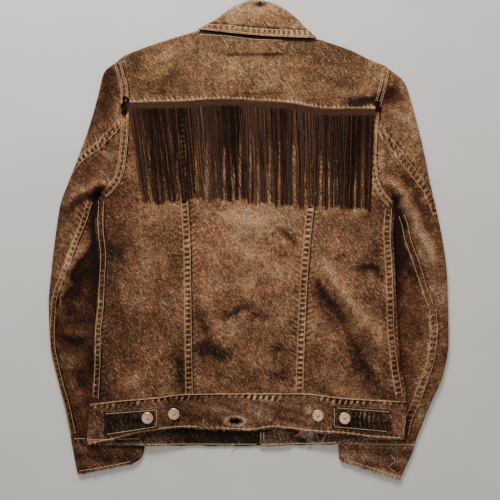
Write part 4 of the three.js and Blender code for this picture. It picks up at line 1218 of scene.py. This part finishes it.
def collar_levels():
    """Rows of the collar's levels, with how much of the fold is past, finely stepped."""
    stand = [lerp(np.array(STAND_FOOT), np.array(STAND_TOP), t) for t in np.linspace(0, 1, 9)[:-1]]
    past = np.linspace(0, 1, 15)
    mixed = (1 - np.cos(math.pi * past)) / 2
    fold = [lerp(np.array(STAND_TOP), np.array(LEAF_TOP), t) for t in mixed]
    upper = [lerp(np.array(LEAF_TOP), np.array(LEAF_MIDDLE), t) for t in np.linspace(0, 1, 9)[1:]]
    lower = [lerp(np.array(LEAF_MIDDLE), np.array(LEAF_EDGE), t) for t in np.linspace(0, 1, 9)[1:]]
    passed = np.concatenate([np.zeros(len(stand)), past, np.ones(len(upper) + len(lower))])
    return np.array(stand + fold + upper + lower), passed


def collar_places(levels, past):
    """x, y and z of the folded strip before its swell, its share across, and 1 on top or -1 below."""
    left, right, left_y, right_y, back_rise, front_drop = (levels[:, k : k + 1] for k in range(6))
    half = lerp(COLLAR_STAND_HALF, COLLAR_LEAF_HALF, (1 - np.cos(math.pi * past)) / 2)
    start, end = FRONT_MIDDLE_TURN + COLLAR_END_GAP, 1 + FRONT_MIDDLE_TURN - COLLAR_END_GAP
    turn = np.linspace(start, end, COLLAR_COLUMNS)[None, :]
    width = right - left
    distance, gained, sign = around_section(turn, width, half * COLLAR_ROLL_STRETCH)
    share = distance / width

    def bend(at):
        return np.where(sign > 0, back_rise * arch(at), -front_drop * np.abs(arch(at)) ** 1.5)

    nearby = np.maximum(np.minimum(0.01, np.minimum(share, 1 - share)), 1e-6)
    slope = (bend(share + nearby) - bend(share - nearby)) / (2 * nearby * width)
    slope = np.where(gained < 0.02, 0, slope)
    rise = COLLAR_FOLD_RISE * np.sin(math.pi * past) * np.hypot(1, slope)
    x = lerp(left, right, share)
    y = lerp(left_y, right_y, share) + bend(share) + rise
    return x, y, COLLAR_MID + sign * half * gained, share, sign


def add_collar():
    levels, past = collar_levels()
    past = past[:, None]
    x, y, z, share, sign = collar_places(levels, past)
    across = np.clip(across_neck(x), 0, 1)
    above = y - lerp(LEAF_EDGE_LEFT_Y, LEAF_EDGE_RIGHT_Y, across) - LEAF_EDGE_RISE * arch(across)
    on_leaf = (sign > 0) & (past >= 0.99)
    near = ease((above - 3) / 2) * ease((12 - above) / 3) * on_leaf
    rungs = ladder(x, 4.2)
    swell = on_leaf * (0.5 * arch(share) + 0.25 * np.sin(x / 13 + y / 19) + 0.3 * near * rungs)
    grid = np.stack(np.broadcast_arrays(x, y, z + swell), axis=-1)
    dark_spot = -1.2 * np.exp(-(((x - 16) / 6) ** 2) - ((y - 342) / 3) ** 2)
    fold_wear = 0.08 * ease((past - 0.3) / 0.3) * ease((y - 318) / 14) * (sign > 0)
    edge = 0.22 * bell(above, 1.6) * on_leaf
    groove = bell(above - 11.6, 0.8) * on_leaf
    worn_bars = near * (0.55 * bars(rungs) - 0.16)
    wear = 0.12 + worn_bars + dark_spot + fold_wear + edge - 0.5 * groove + 0 * x
    stands_for("collar", cloth_wall("collar_cloth", grid, COLLAR_CLOTH, yoke_denim, "worn_denim", wear))


# Tabs: x of the left and right edge, y of the two top corners and of the two bottom corners
TABS = {
    "waist_tab_left": (-210, -130.5, -248, -242, -284, -272.6),
    "waist_tab_right": (120, 206, -239, -245, -272.6, -280),
}
# Buttons: x, y, and whether it sits on a tab
BUTTONS = {
    "button_tab_left": (-146.5, -256.7, True),
    "button_band_left": (-109, -252, False),
    "button_band_right": (100, -254, False),
    "button_tab_right": (138, -257, True),
}
TAB_STITCH_INSET = 3.2
TAB_CLOTH = BAND - 0.5
BUTTON_SEGMENTS = 44
# Section of a button: radius, height above its seat, and shade
BUTTON_PROFILE = [
    (0, 0, 0.0), (4.6, 0, -0.1), (4.9, 0.9, -0.2), (7.6, 1.0, -0.2), (8.3, 1.3, 0.0), (8.5, 1.9, 0.1),
    (8.3, 2.6, 0.15), (7.8, 3.1, 0.2), (7.1, 3.3, 0.1), (6.5, 3.15, -0.1), (6.1, 2.95, 0.0), (4.5, 3.05, 0.0),
    (2.4, 3.1, 0.0), (2.0, 2.9, -0.15), (1.7, 3.1, 0.0), (1.2, 3.45, 0.1), (0.8, 3.5, 0.0), (0.6, 3.2, -0.5),
    (0.0, 3.1, -0.6),
]


def band_top(x, y):
    return band_height(x, y) + BAND / 2


def sloping_edge(start, end, at_start, at_end):
    """An edge whose y goes evenly from one value to the other between two places."""
    return lambda x: lerp(at_start, at_end, np.clip((x - start) / (end - start), 0, 1))


def tab_height(x, y):
    return band_top(x, y) + LAID_GAP + BAND / 2


def add_tab(name, start, end, top, bottom):
    on_left = name.endswith("left")
    rows, columns = shares(28, 34, True, True, TAB_ROLL), shares(66, end - start, True, True, TAB_ROLL)
    grid = panel_grid(rows, columns, bottom, top, straight_edge(start), straight_edge(end), tab_height)
    x, y = grid[..., 0], grid[..., 1]
    side = np.minimum(np.minimum(x - start, end - x), np.minimum(top(x) - y, y - bottom(x)))
    grid[..., 2] += 0.35 * ease(side / 2.0) - 0.25 + 0.12 * np.sin(x / 3.1 + y / 5) * ease(side / 6)
    line = bell(side - TAB_STITCH_INSET, 1.1)
    grid[..., 2] -= 0.22 * line
    ribs = np.sin(x * 0.95 + 0.5 * np.sin(y / 3)) * (0.5 + 0.5 * np.sin(x / 9 + 2))
    scuffs = (0.12 if on_left else 0.3) * ribs * ease((side - 4) / 3)
    slot_x = end - 30 if on_left else start + 34
    slot = ease((9 - np.abs(x - slot_x)) / 2) * bell(y - (top(x) + bottom(x)) / 2, 0.9)
    scuffs = scuffs - 0.6 * slot
    wear = 0.30 * bell(side, 1.0) + 0.14 * line * ladder(x + y, 1.1) + scuffs - 0.04
    stands_for(name, cloth_wall(f"{name}_cloth", grid, TAB_CLOTH, tab_denim, "dark_denim", wear))


def add_tabs():
    for name, (start, end, top_start, top_end, bottom_start, bottom_end) in TABS.items():
        top = sloping_edge(start, end, top_start, top_end)
        bottom = sloping_edge(start, end, bottom_start, bottom_end)
        add_tab(name, start, end, top, bottom)


def button_mesh(x, y, seat):
    """Points and faces of a turned button: the middle of its foot, its rings, and the middle of its top."""
    profile = np.array(BUTTON_PROFILE)
    angles = 2 * math.pi * np.arange(BUTTON_SEGMENTS) / BUTTON_SEGMENTS
    rings = profile[1:-1]
    across_x, across_y = rings[:, :1] * np.cos(angles), rings[:, :1] * np.sin(angles)
    ring = np.stack([x + across_x, y + across_y, seat + rings[:, 1:2] + 0 * angles], axis=-1).reshape(-1, 3)
    points = np.vstack([[[x, y, seat]], ring, [[x, y, seat + profile[-1, 1]]]])
    faces = []
    for j in range(BUTTON_SEGMENTS):
        k = (j + 1) % BUTTON_SEGMENTS
        faces.append((0, 1 + k, 1 + j))
        for i in range(len(rings) - 1):
            a = 1 + i * BUTTON_SEGMENTS
            faces.append((a + j, a + k, a + BUTTON_SEGMENTS + k, a + BUTTON_SEGMENTS + j))
        last = 1 + (len(rings) - 1) * BUTTON_SEGMENTS
        faces.append((last + j, last + k, len(points) - 1))
    wear = np.concatenate([[0], np.repeat(rings[:, 2], BUTTON_SEGMENTS), [profile[-1, 2]]])
    return points, faces, wear


def add_buttons():
    near = [(0, 0), (5, 0), (-5, 0), (0, 5), (0, -5)]
    for name, (x, y, on_tab) in BUTTONS.items():
        seat = max(float(band_top(np.array(x + dx), np.array(y + dy))) for dx, dy in near)
        seat += LAID_GAP + (LAID_GAP + BAND if on_tab else 0)
        points, faces, wear = button_mesh(x, y, seat)
        piece = mesh_piece(
            f"{name}_metal", points, faces, button_metal, "button_metal", 40, grain=points * MM, wear=wear
        )
        stands_for(name, piece)


# Fringe: a narrow braid just under the yoke seam, with strands that hang from its lower edge

FRINGE_FROM = -177
FRINGE_TO = 183
TIPS_FROM = -156
TIPS_TO = 177
FRINGE_BRAID = 10
BRAID_RIB_PITCH = 2.4
STRANDS = 1150
STRAND_RADIUS = 0.36
STRAND_POINTS = 13
STRAND_GAP = 0.35
STRAND_PILE = 1.5
ROOT_RISE = 0.9
fringe_tip = graph([(-154, 54), (-120, 55), (-70, 61), (-27, 60), (19, 54), (60, 51), (117, 49), (174, 45)])
# Places where the strands part and the denim shows: x, the share of their length where it starts, width
PARTINGS = [
    (-77, 0.35, 2.2), (-61, 0.2, 2.6), (-36, 0.3, 2.0), (-22, 0.55, 3.2), (-13, 0.2, 2.6), (2, 0.1, 2.4),
    (13, 0.3, 2.2), (30, 0.2, 2.6), (44, 0.15, 2.4), (66, 0.2, 3.0), (82, 0.3, 2.2), (104, 0.25, 3.2),
    (116, 0.4, 2.4), (154, 0.55, 2.4), (-104, 0.3, 1.6), (-145, 0.2, 1.8),
]
# Darker groups of strands: x, width and depth
STRAND_CLOUDS = [(-135, 20, 0.34), (-98, 14, 0.2), (-24, 15, 0.34), (42, 14, 0.15), (152, 26, 0.22)]


def back_surface(x, y):
    return back_height(x, y) + CLOTH / 2


def braid_top(x):
    return yoke_seam(x) - 1


def braid_bottom(x):
    return yoke_seam(x) - 1 - FRINGE_BRAID


def braid_height(x, y):
    return back_surface(x, y) + TRIM_GAP + CLOTH / 2


def add_braid():
    start, end = straight_edge(FRINGE_FROM), straight_edge(FRINGE_TO)
    grid = panel_grid(shares(12), shares(300), braid_bottom, braid_top, start, end, braid_height)
    x, y = grid[..., 0], grid[..., 1]
    rib = np.sin(2 * math.pi * (x + 0.4 * y) / BRAID_RIB_PITCH)
    grid[..., 2] += 0.12 * rib
    down = (braid_top(x) - y) / FRINGE_BRAID
    wear = 0.10 + 0.12 * rib + 0.12 * bell(down - 0.93, 0.06) * np.sin(x * 2.2)
    stands_for("fringe", cloth_wall("fringe_braid", grid, CLOTH, fringe_thread, "fringe", wear))


def strand_ends():
    """x of each strand at the braid, and x and y of its tip."""
    share = (np.arange(STRANDS) + rng.uniform(0.1, 0.9, STRANDS)) / STRANDS
    root_x = lerp(FRINGE_FROM + 1, FRINGE_TO - 1, share)
    drift = 2.2 * np.sin(share * 47) + 1.6 * np.sin(share * 111 + 1) + 1.0 * np.sin(share * 260 + 2)
    tip_x = lerp(TIPS_FROM, TIPS_TO, share) + drift + rng.normal(0, 0.9, STRANDS)
    ragged = 2.2 * np.sin(share * 61) + 1.4 * np.sin(share * 170) + rng.uniform(-2.6, 2.6, STRANDS)
    tip_y = fringe_tip(tip_x) + ragged + 14 * (rng.uniform(0, 1, STRANDS) > 0.94)
    return root_x, tip_x, tip_y


def parted(x, t):
    """x of the strands, pushed aside where they part."""
    for at, begins, width in PARTINGS:
        near = x - at
        wavy = 1 + 0.25 * np.sin(t * 9 + at)
        push = wavy * bell(near, width * 2.6) * ease((t - begins) / 0.3)
        x = x + np.sign(near) * push * width * 0.6
    return x


def add_strands():
    root_x, tip_x, tip_y = strand_ends()
    root_y = braid_bottom(root_x) + 1.5
    t = np.linspace(0, 1, STRAND_POINTS)[None, :]
    one_each = (STRANDS, 1)
    wander = rng.normal(0, 0.9, one_each) * np.sin(math.pi * t) * np.sin(
        rng.uniform(2, 7, one_each) * t + rng.uniform(0, 6, one_each)
    )
    x = parted(lerp(root_x[:, None], tip_x[:, None], t) + wander, t)
    y = lerp(root_y[:, None], tip_y[:, None], t)
    pile = STRAND_PILE * rng.uniform(0, 1, one_each) * np.sin(math.pi * np.minimum(t * 1.3 + 0.1, 1)) ** 0.5
    z = back_surface(x, y) + STRAND_RADIUS + STRAND_GAP + pile
    z = z + ROOT_RISE * (1 - ease(t / 0.12))
    darker = -sum(depth * bell(root_x - at, width) for at, width, depth in STRAND_CLOUDS)
    lighter = 0.38 * (rng.uniform(0, 1, STRANDS) > 0.84)
    shades = rng.uniform(-0.15, 0.22, STRANDS) + darker + lighter
    paths = np.stack([x, y, z], axis=-1)
    return tubes("fringe_strands", paths, STRAND_RADIUS * (1 - 0.3 * t), 4, fringe_thread, "fringe", shades)


# Knots of dark thread at both ends of the fringe: x, y and how far the loops reach
KNOTS = [(-179, 203, 5.5), (-180, 195, 6), (-181, 186, 4.5), (186, 198, 4.0), (187, 190, 4)]
KNOT_LOOPS = 13
KNOT_POINTS = 18


def add_knots():
    t = np.linspace(0, 2 * math.pi, KNOT_POINTS)[None, :]
    one_each = (KNOT_LOOPS, 1)
    lines = []
    for at_x, at_y, reach in KNOTS:
        turn = rng.uniform(0, math.pi, one_each)
        long = reach * rng.uniform(0.7, 1.1, one_each)
        short = reach * rng.uniform(0.25, 0.6, one_each)
        dx, dy = long * np.cos(t), short * np.sin(t)
        x = at_x + dx * np.cos(turn) - dy * np.sin(turn)
        y = at_y + dx * np.sin(turn) + dy * np.cos(turn)
        z = back_surface(x, y) + 1.2 + 0.8 * np.sin(t * 2 + turn)
        lines.append(np.stack([x, y, z], axis=-1))
    return tubes("fringe_knots", np.concatenate(lines), 0.5, 4, fringe_thread, "fringe", -0.2)


add_back()
add_back_waistband()
add_front_waistbands()
add_fronts()
for each_side in SLEEVES:
    add_sleeve(each_side)
    add_cuff(each_side)
add_collar()
add_tabs()
add_buttons()
add_braid()
strands = add_strands()
knots = add_knots()

# Stitches, loose threads and frayed edges, laid on the pieces from above

cloth_trees = [
    BVHTree.FromObject(piece, bpy.context.evaluated_depsgraph_get())
    for node, piece in pieces.items()
    if not node.startswith(("button", "fringe", "front_left", "front_right"))
]


RAY_START = 0.1  # metres above the surface, over every piece


def drop(x, y):
    """Height of the highest cloth at each place, and none where there is no cloth."""
    heights = np.full(np.shape(x), np.nan)
    for place in np.ndindex(np.shape(x)):
        start = Vector((x[place] * MM, y[place] * MM, RAY_START))
        found = [tree.ray_cast(start, Vector((0, 0, -1)))[0] for tree in cloth_trees]
        tops = [hit.z for hit in found if hit is not None]
        if tops:
            heights[place] = max(tops) / MM
    return heights


STITCH_PITCH = 3.3
STITCH_LENGTH = 2.8
STITCH_RADIUS = 0.42
# Along one stitch: shares of its length from its middle, height above the cloth, and share of its radius
STITCH_ALONG = np.array([-0.5, -0.32, 0.0, 0.32, 0.5])
STITCH_RISE = np.array([-0.2, 0.2, 0.34, 0.2, -0.2])
STITCH_TAPER = np.array([[0.7, 1, 1, 1, 0.7]])
STEEPEST_STITCH = 2.2


def smooth_through(points, places, at):
    """x and y on the smooth curve through the points, which lie at the places."""
    return [graph(list(zip(places, points[:, k])))(at) for k in range(2)]


def offset_path(path, by, step=1.0):
    """Points a step apart along a path, moved sideways, to its left if by is above zero."""
    points = np.array(path, float)
    lengths = np.concatenate([[0], np.cumsum(np.hypot(*np.diff(points, axis=0).T))])
    x, y = smooth_through(points, lengths, np.arange(0, lengths[-1], step))
    dx, dy = np.gradient(x), np.gradient(y)
    norm = np.hypot(dx, dy)
    return np.stack([x - by * dy / norm, y + by * dx / norm], axis=-1)


def stitch_paths(line):
    """Places of each stitch along a dense line: its two ends go into the cloth."""
    lengths = np.concatenate([[0], np.cumsum(np.hypot(*np.diff(line, axis=0).T))])
    middles = np.arange(STITCH_PITCH / 2, lengths[-1] - STITCH_PITCH / 2, STITCH_PITCH)
    s = middles[:, None] + (STITCH_ALONG * STITCH_LENGTH)[None, :]
    x, y = np.interp(s, lengths, line[:, 0]), np.interp(s, lengths, line[:, 1])
    z = drop(x, y) + STITCH_RISE
    paths = np.stack([x, y, z], axis=-1)
    level = np.ptp(z, axis=1) < STEEPEST_STITCH
    return paths[level & ~np.isnan(z).any(axis=1)]


def graph_line(curve, start, end, by=0.0, upright=False):
    """A dense line along one of the edge curves."""
    places = np.arange(start, end, 1.0)
    values = curve(places) + by
    return np.stack([values, places] if upright else [places, values], axis=-1)


def straight_line(start, end):
    """Points a step apart along a straight line."""
    length = math.hypot(end[0] - start[0], end[1] - start[1])
    share = np.arange(0, length, 1.0)[:, None] / length
    return lerp(np.array(start), np.array(end), share)


def tab_outline(name, inset=TAB_STITCH_INSET):
    """Lines along three sides of a tab, all but the one towards the side of the body."""
    start, end, top_start, top_end, bottom_start, bottom_end = TABS[name]
    corners = [
        (start + inset, top_start - inset), (end - inset, top_end - inset),
        (end - inset, bottom_end + inset), (start + inset, bottom_start + inset),
    ]
    order = [0, 1, 2, 3] if name.endswith("left") else [1, 0, 3, 2]
    return [straight_line(corners[a], corners[b]) for a, b in zip(order, order[1:])]


def topstitch_lines():
    body = [graph_line(yoke_seam, -172, 176, 1.6)]
    sleeves = []
    for name, (path, half, *_) in SEAMS.items():
        group = sleeves if name.startswith(("sleeve", "underarm", "elbow")) else body
        group += [offset_path(path, half), offset_path(path, -half)]
        if name.startswith("armhole"):
            body += [offset_path(path, half - 2.3), offset_path(path, 2.3 - half)]
    leaf = [(-70, 303.5), (-35, 301.5), (9, 296.5), (52, 294.6), (92, 293.2)]
    bands = [
        graph_line(waist_seam, -222, 222, -1.5),
        graph_line(back_hem, -228, -74, 2.6),
        graph_line(back_hem, -40, 222, 2.6),
        graph_line(front_hem, -148, 12, 2.4),
        graph_line(front_hem, 18, 128, 2.4),
        straight_line((17.2, -279), (17.2, -297)),
        straight_line((21.5, -280), (21.5, -297)),
        offset_path([(-254.5, -289), (-205, -289), (-156, -288.5)], 0),
        offset_path([(240, -297.5), (190, -297), (138, -295.5)], 0),
        offset_path([(-247, -336), (-210, -330), (-172, -322)], 0),
        offset_path([(217, -344), (180, -332), (136, -318)], 0),
        offset_path(leaf, 2.6),
        offset_path(leaf, 9.8),
        offset_path(leaf[:4], -5.0),
        *tab_outline("waist_tab_left"),
        *tab_outline("waist_tab_right"),
    ]
    return {"topstitch_body": body, "topstitch_sleeves": sleeves, "topstitch_bands": bands}


def add_topstitches():
    made = []
    for name, lines in topstitch_lines().items():
        paths = np.concatenate([stitch_paths(line) for line in lines])
        wear = rng.uniform(0.15, 0.55, len(paths)) + 0.3 * (name == "topstitch_bands")
        made.append(tubes(name, paths, STITCH_RADIUS * STITCH_TAPER, 4, tan_thread, "worn_denim", wear))
    return made


LOOSE_THREAD_RADIUS = 0.4
FRAY_RADIUS = 0.2
# Loose threads in plan
LOOSE_THREADS = [
    [(70, -272), (78, -284), (87, -291), (91, -300), (86, -307)],
    [(68, -276), (76, -279), (88, -276), (92, -286), (84, -292)],
    [(80, -275), (86, -284), (95, -281), (90, -290), (96, -297)],
    [(113, -275), (110, -286), (106, -296), (111, -305)],
    [(118, -279), (104, -281), (96, -276), (100, -288)],
    [(-24, -296), (-20, -304), (-26, -309)],
    [(12, 343), (14, 347), (20, 346), (19, 342)],
    [(206, -312), (212, -322), (204, -330), (214, -338)],
]


def add_loose_threads():
    lines = []
    for path in LOOSE_THREADS:
        points = np.array(path, float)
        x, y = smooth_through(points, np.arange(len(points)), np.linspace(0, len(points) - 1, 24))
        z = np.nan_to_num(drop(x, y), nan=0.4) + 0.35
        lines.append(np.stack([x, y, z], axis=-1))
    return tubes("loose_threads", np.array(lines), LOOSE_THREAD_RADIUS, 5, pale_fibre, "worn_denim", 0.5)


def fray_sources():
    """Frayed edges: line in plan, direction of the fibres, their reach, and how many for each millimetre."""
    holes = []
    for cx, cy, half_x, half_y in HOLES:
        angles = np.linspace(0, 2 * math.pi, 60)
        rim = np.stack([cx + half_x * 1.05 * np.cos(angles), cy + half_y * 1.05 * np.sin(angles)], axis=-1)
        inward = np.stack([-np.cos(angles), -np.sin(angles)], axis=-1)
        holes.append((rim, inward, 3.6, 2.6))
    down = np.array([0.0, -1.0])
    hem = graph_line(frayed_hem, -78, -34, 0.8)
    hem_rest = graph_line(back_hem, -30, 110, 0.8)
    front = graph_line(front_hem, -60, 10, 1.0)
    cuff_right = offset_path([(221, -346), (180, -334), (135, -318.5)], 0)
    cuff_left = offset_path([(-249, -339), (-210, -333), (-172, -324)], 0)
    collar = offset_path([(-4, 345.5), (10, 346.5), (24, 345)], 0)
    collar_spot = offset_path([(9, 343.5), (16, 344.5), (23, 343)], 0)
    tuft = offset_path([(74, -277), (84, -280), (94, -278)], 0)
    tuft_left = offset_path([(-76, -273), (-62, -272), (-50, -272)], 0)
    straight = [
        (hem, down, 4.0, 2.2), (hem_rest, down, 2.6, 0.6), (front, down, 3.4, 0.9),
        (cuff_right, down, 5.2, 2.6), (cuff_left, down, 3.6, 1.6), (collar, -down, 3.4, 3.0),
        (collar_spot, down, 3.0, 3.0), (tuft, down, 9.0, 6.0), (tuft_left, down, 3.4, 1.6),
    ]
    edges = [(line, np.tile(way, (len(line), 1)), reach, density) for line, way, reach, density in straight]
    return holes + edges


def fray_fibres(line, ways, reach, density):
    """Short curling fibres that start in the cloth along a line."""
    steps = np.hypot(*np.diff(line, axis=0).T)
    count = int(steps.sum() * density)
    at = rng.uniform(0, len(line) - 1, count)
    place = np.arange(len(line))
    root_x, root_y = (np.interp(at, place, line[:, k])[:, None] for k in range(2))
    way_x, way_y = (np.interp(at, place, ways[:, k])[:, None] for k in range(2))
    length = reach * rng.uniform(0.3, 1.0, count)[:, None]
    lean = rng.normal(0, 0.6, count)[:, None]
    curl = rng.normal(0, 0.5, count)[:, None]
    t = np.linspace(-0.35, 1, 6)[None, :]
    sideways = (lean * t + curl * t**2) * length * 0.7
    x = root_x + way_x * length * t + way_y * sideways
    y = root_y + way_y * length * t - way_x * sideways
    rooted = np.nan_to_num(drop(x[:, :1], y[:, :1]), nan=4.0)
    z = rooted - 0.2 - 1.2 * np.maximum(t, 0) ** 1.5 * rng.uniform(0, 1, (count, 1))
    return np.stack([x, y, np.maximum(z, 0.3)], axis=-1)


def add_frays():
    paths = np.concatenate([fray_fibres(*source) for source in fray_sources()])
    wear = rng.uniform(-0.1, 0.5, len(paths))
    return tubes("frayed_edges", paths, FRAY_RADIUS, 3, pale_fibre, "worn_denim", wear)


stitches = add_topstitches()
loose_threads = add_loose_threads()
frays = add_frays()

# Sheets: width and length of the cut in metres, its flat area, and what it rests on
SHEETS = {
    "back_yoke": ((0.39, 0.115), 0.0358, ["front_left_cloth", "front_right_cloth"]),
    "back_centre": ((0.20, 0.43), 0.0755, ["front_left_cloth", "front_right_cloth"]),
    "back_side_left": ((0.14, 0.44), 0.0515, ["front_left_cloth", "sleeve_top_left_cloth"]),
    "back_side_right": ((0.145, 0.43), 0.0517, ["front_right_cloth", "sleeve_top_right_cloth"]),
    "back_waistband": ((0.46, 0.056), 0.0245, ["front_waistband_left_cloth", "front_waistband_right_cloth"]),
    "front_left": ((0.285, 0.555), 0.133, ["sleeve_top_left_cloth"]),
    "front_right": ((0.215, 0.54), 0.098, ["sleeve_top_right_cloth"]),
    "front_waistband_left": ((0.285, 0.056), 0.0149, ["cuff_left_cloth"]),
    "front_waistband_right": ((0.213, 0.056), 0.0109, ["cuff_right_cloth"]),
    "sleeve_top_left": ((0.16, 0.57), 0.0635, ["floor"]),
    "sleeve_top_right": ((0.17, 0.56), 0.0714, ["floor"]),
    "sleeve_under_left": ((0.075, 0.54), 0.0257, ["sleeve_top_left_cloth"]),
    "sleeve_under_right": ((0.075, 0.53), 0.0250, ["sleeve_top_right_cloth"]),
    "cuff_left": ((0.215, 0.045), 0.0080, ["floor"]),
    "cuff_right": ((0.225, 0.05), 0.0088, ["floor"]),
    "collar": ((0.46, 0.075), 0.0262, ["floor"]),
    "waist_tab_left": ((0.08, 0.035), 0.00275, ["back_waistband_cloth"]),
    "waist_tab_right": ((0.087, 0.036), 0.0030, ["back_waistband_cloth"]),
    "fringe": (
        (0.36, 0.0105), 0.0037, ["back_centre_cloth", "back_side_left_cloth", "back_side_right_cloth"]
    ),
}


def declare_sheets():
    carried = {
        "back_centre": [stitches[0]],
        "sleeve_top_left": [stitches[1]],
        "back_waistband": [stitches[2], frays],
        "fringe": [strands, knots],
        "front_waistband_left": [loose_threads],
    }
    for node, (flat, area, rests_on) in SHEETS.items():
        with_pieces = carried.get(node, [])
        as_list(with_pieces)


# The floor in metres: half its side, and its level just under the jacket
FLOOR_HALF = 3.0
FLOOR_LEVEL = -0.0003


def add_floor():
    shader = Shader("pale_floor")
    place = shader.add("ShaderNodeTexCoord").outputs["Object"]
    uneven = shader.noise(place, 9, 2.0)
    colour = shader.ramp(uneven, [(0.3, (0.70, 0.67, 0.63)), (0.7, (0.74, 0.71, 0.67))])
    material = shader.finish(colour, shader.bump(uneven, 0.0002, 0.2), Roughness=0.85)
    mesh = bpy.data.meshes.new("floor")
    corners = [(-1, -1), (1, -1), (1, 1), (-1, 1)]
    mesh.from_pydata([(x * FLOOR_HALF, y * FLOOR_HALF, FLOOR_LEVEL) for x, y in corners], [], [(0, 1, 2, 3)])
    mesh.materials.append(material)
    floor = placed("floor", mesh)


# Lights: place, size, power and what it points at
LIGHTS = {
    "key": ((-0.35, 1.35, 0.85), 0.6, 34.0, (0, 0, 0)),
    "fill": ((0.5, -0.4, 1.8), 1.6, 8.0, (0, 0, 0)),
}
ROOM_COLOUR = (1.0, 0.97, 0.93, 1)
ROOM_STRENGTH = 0.28


def add_lights():
    for name, (place, size, power, target) in LIGHTS.items():
        data = bpy.data.lights.new(name, "AREA")
        data.energy = power
        data.size = size
        lamp = placed(name, data)
        lamp.location = place
        lamp.rotation_euler = (Vector(target) - Vector(place)).to_track_quat("-Z", "Y").to_euler()
    world = bpy.data.worlds.new("studio")
    world.use_nodes = True
    background = world.node_tree.nodes["Background"]
    background.inputs["Color"].default_value = ROOM_COLOUR
    background.inputs["Strength"].default_value = ROOM_STRENGTH
    bpy.context.scene.world = world


add_camera()
add_floor()
add_lights()
declare_sheets()
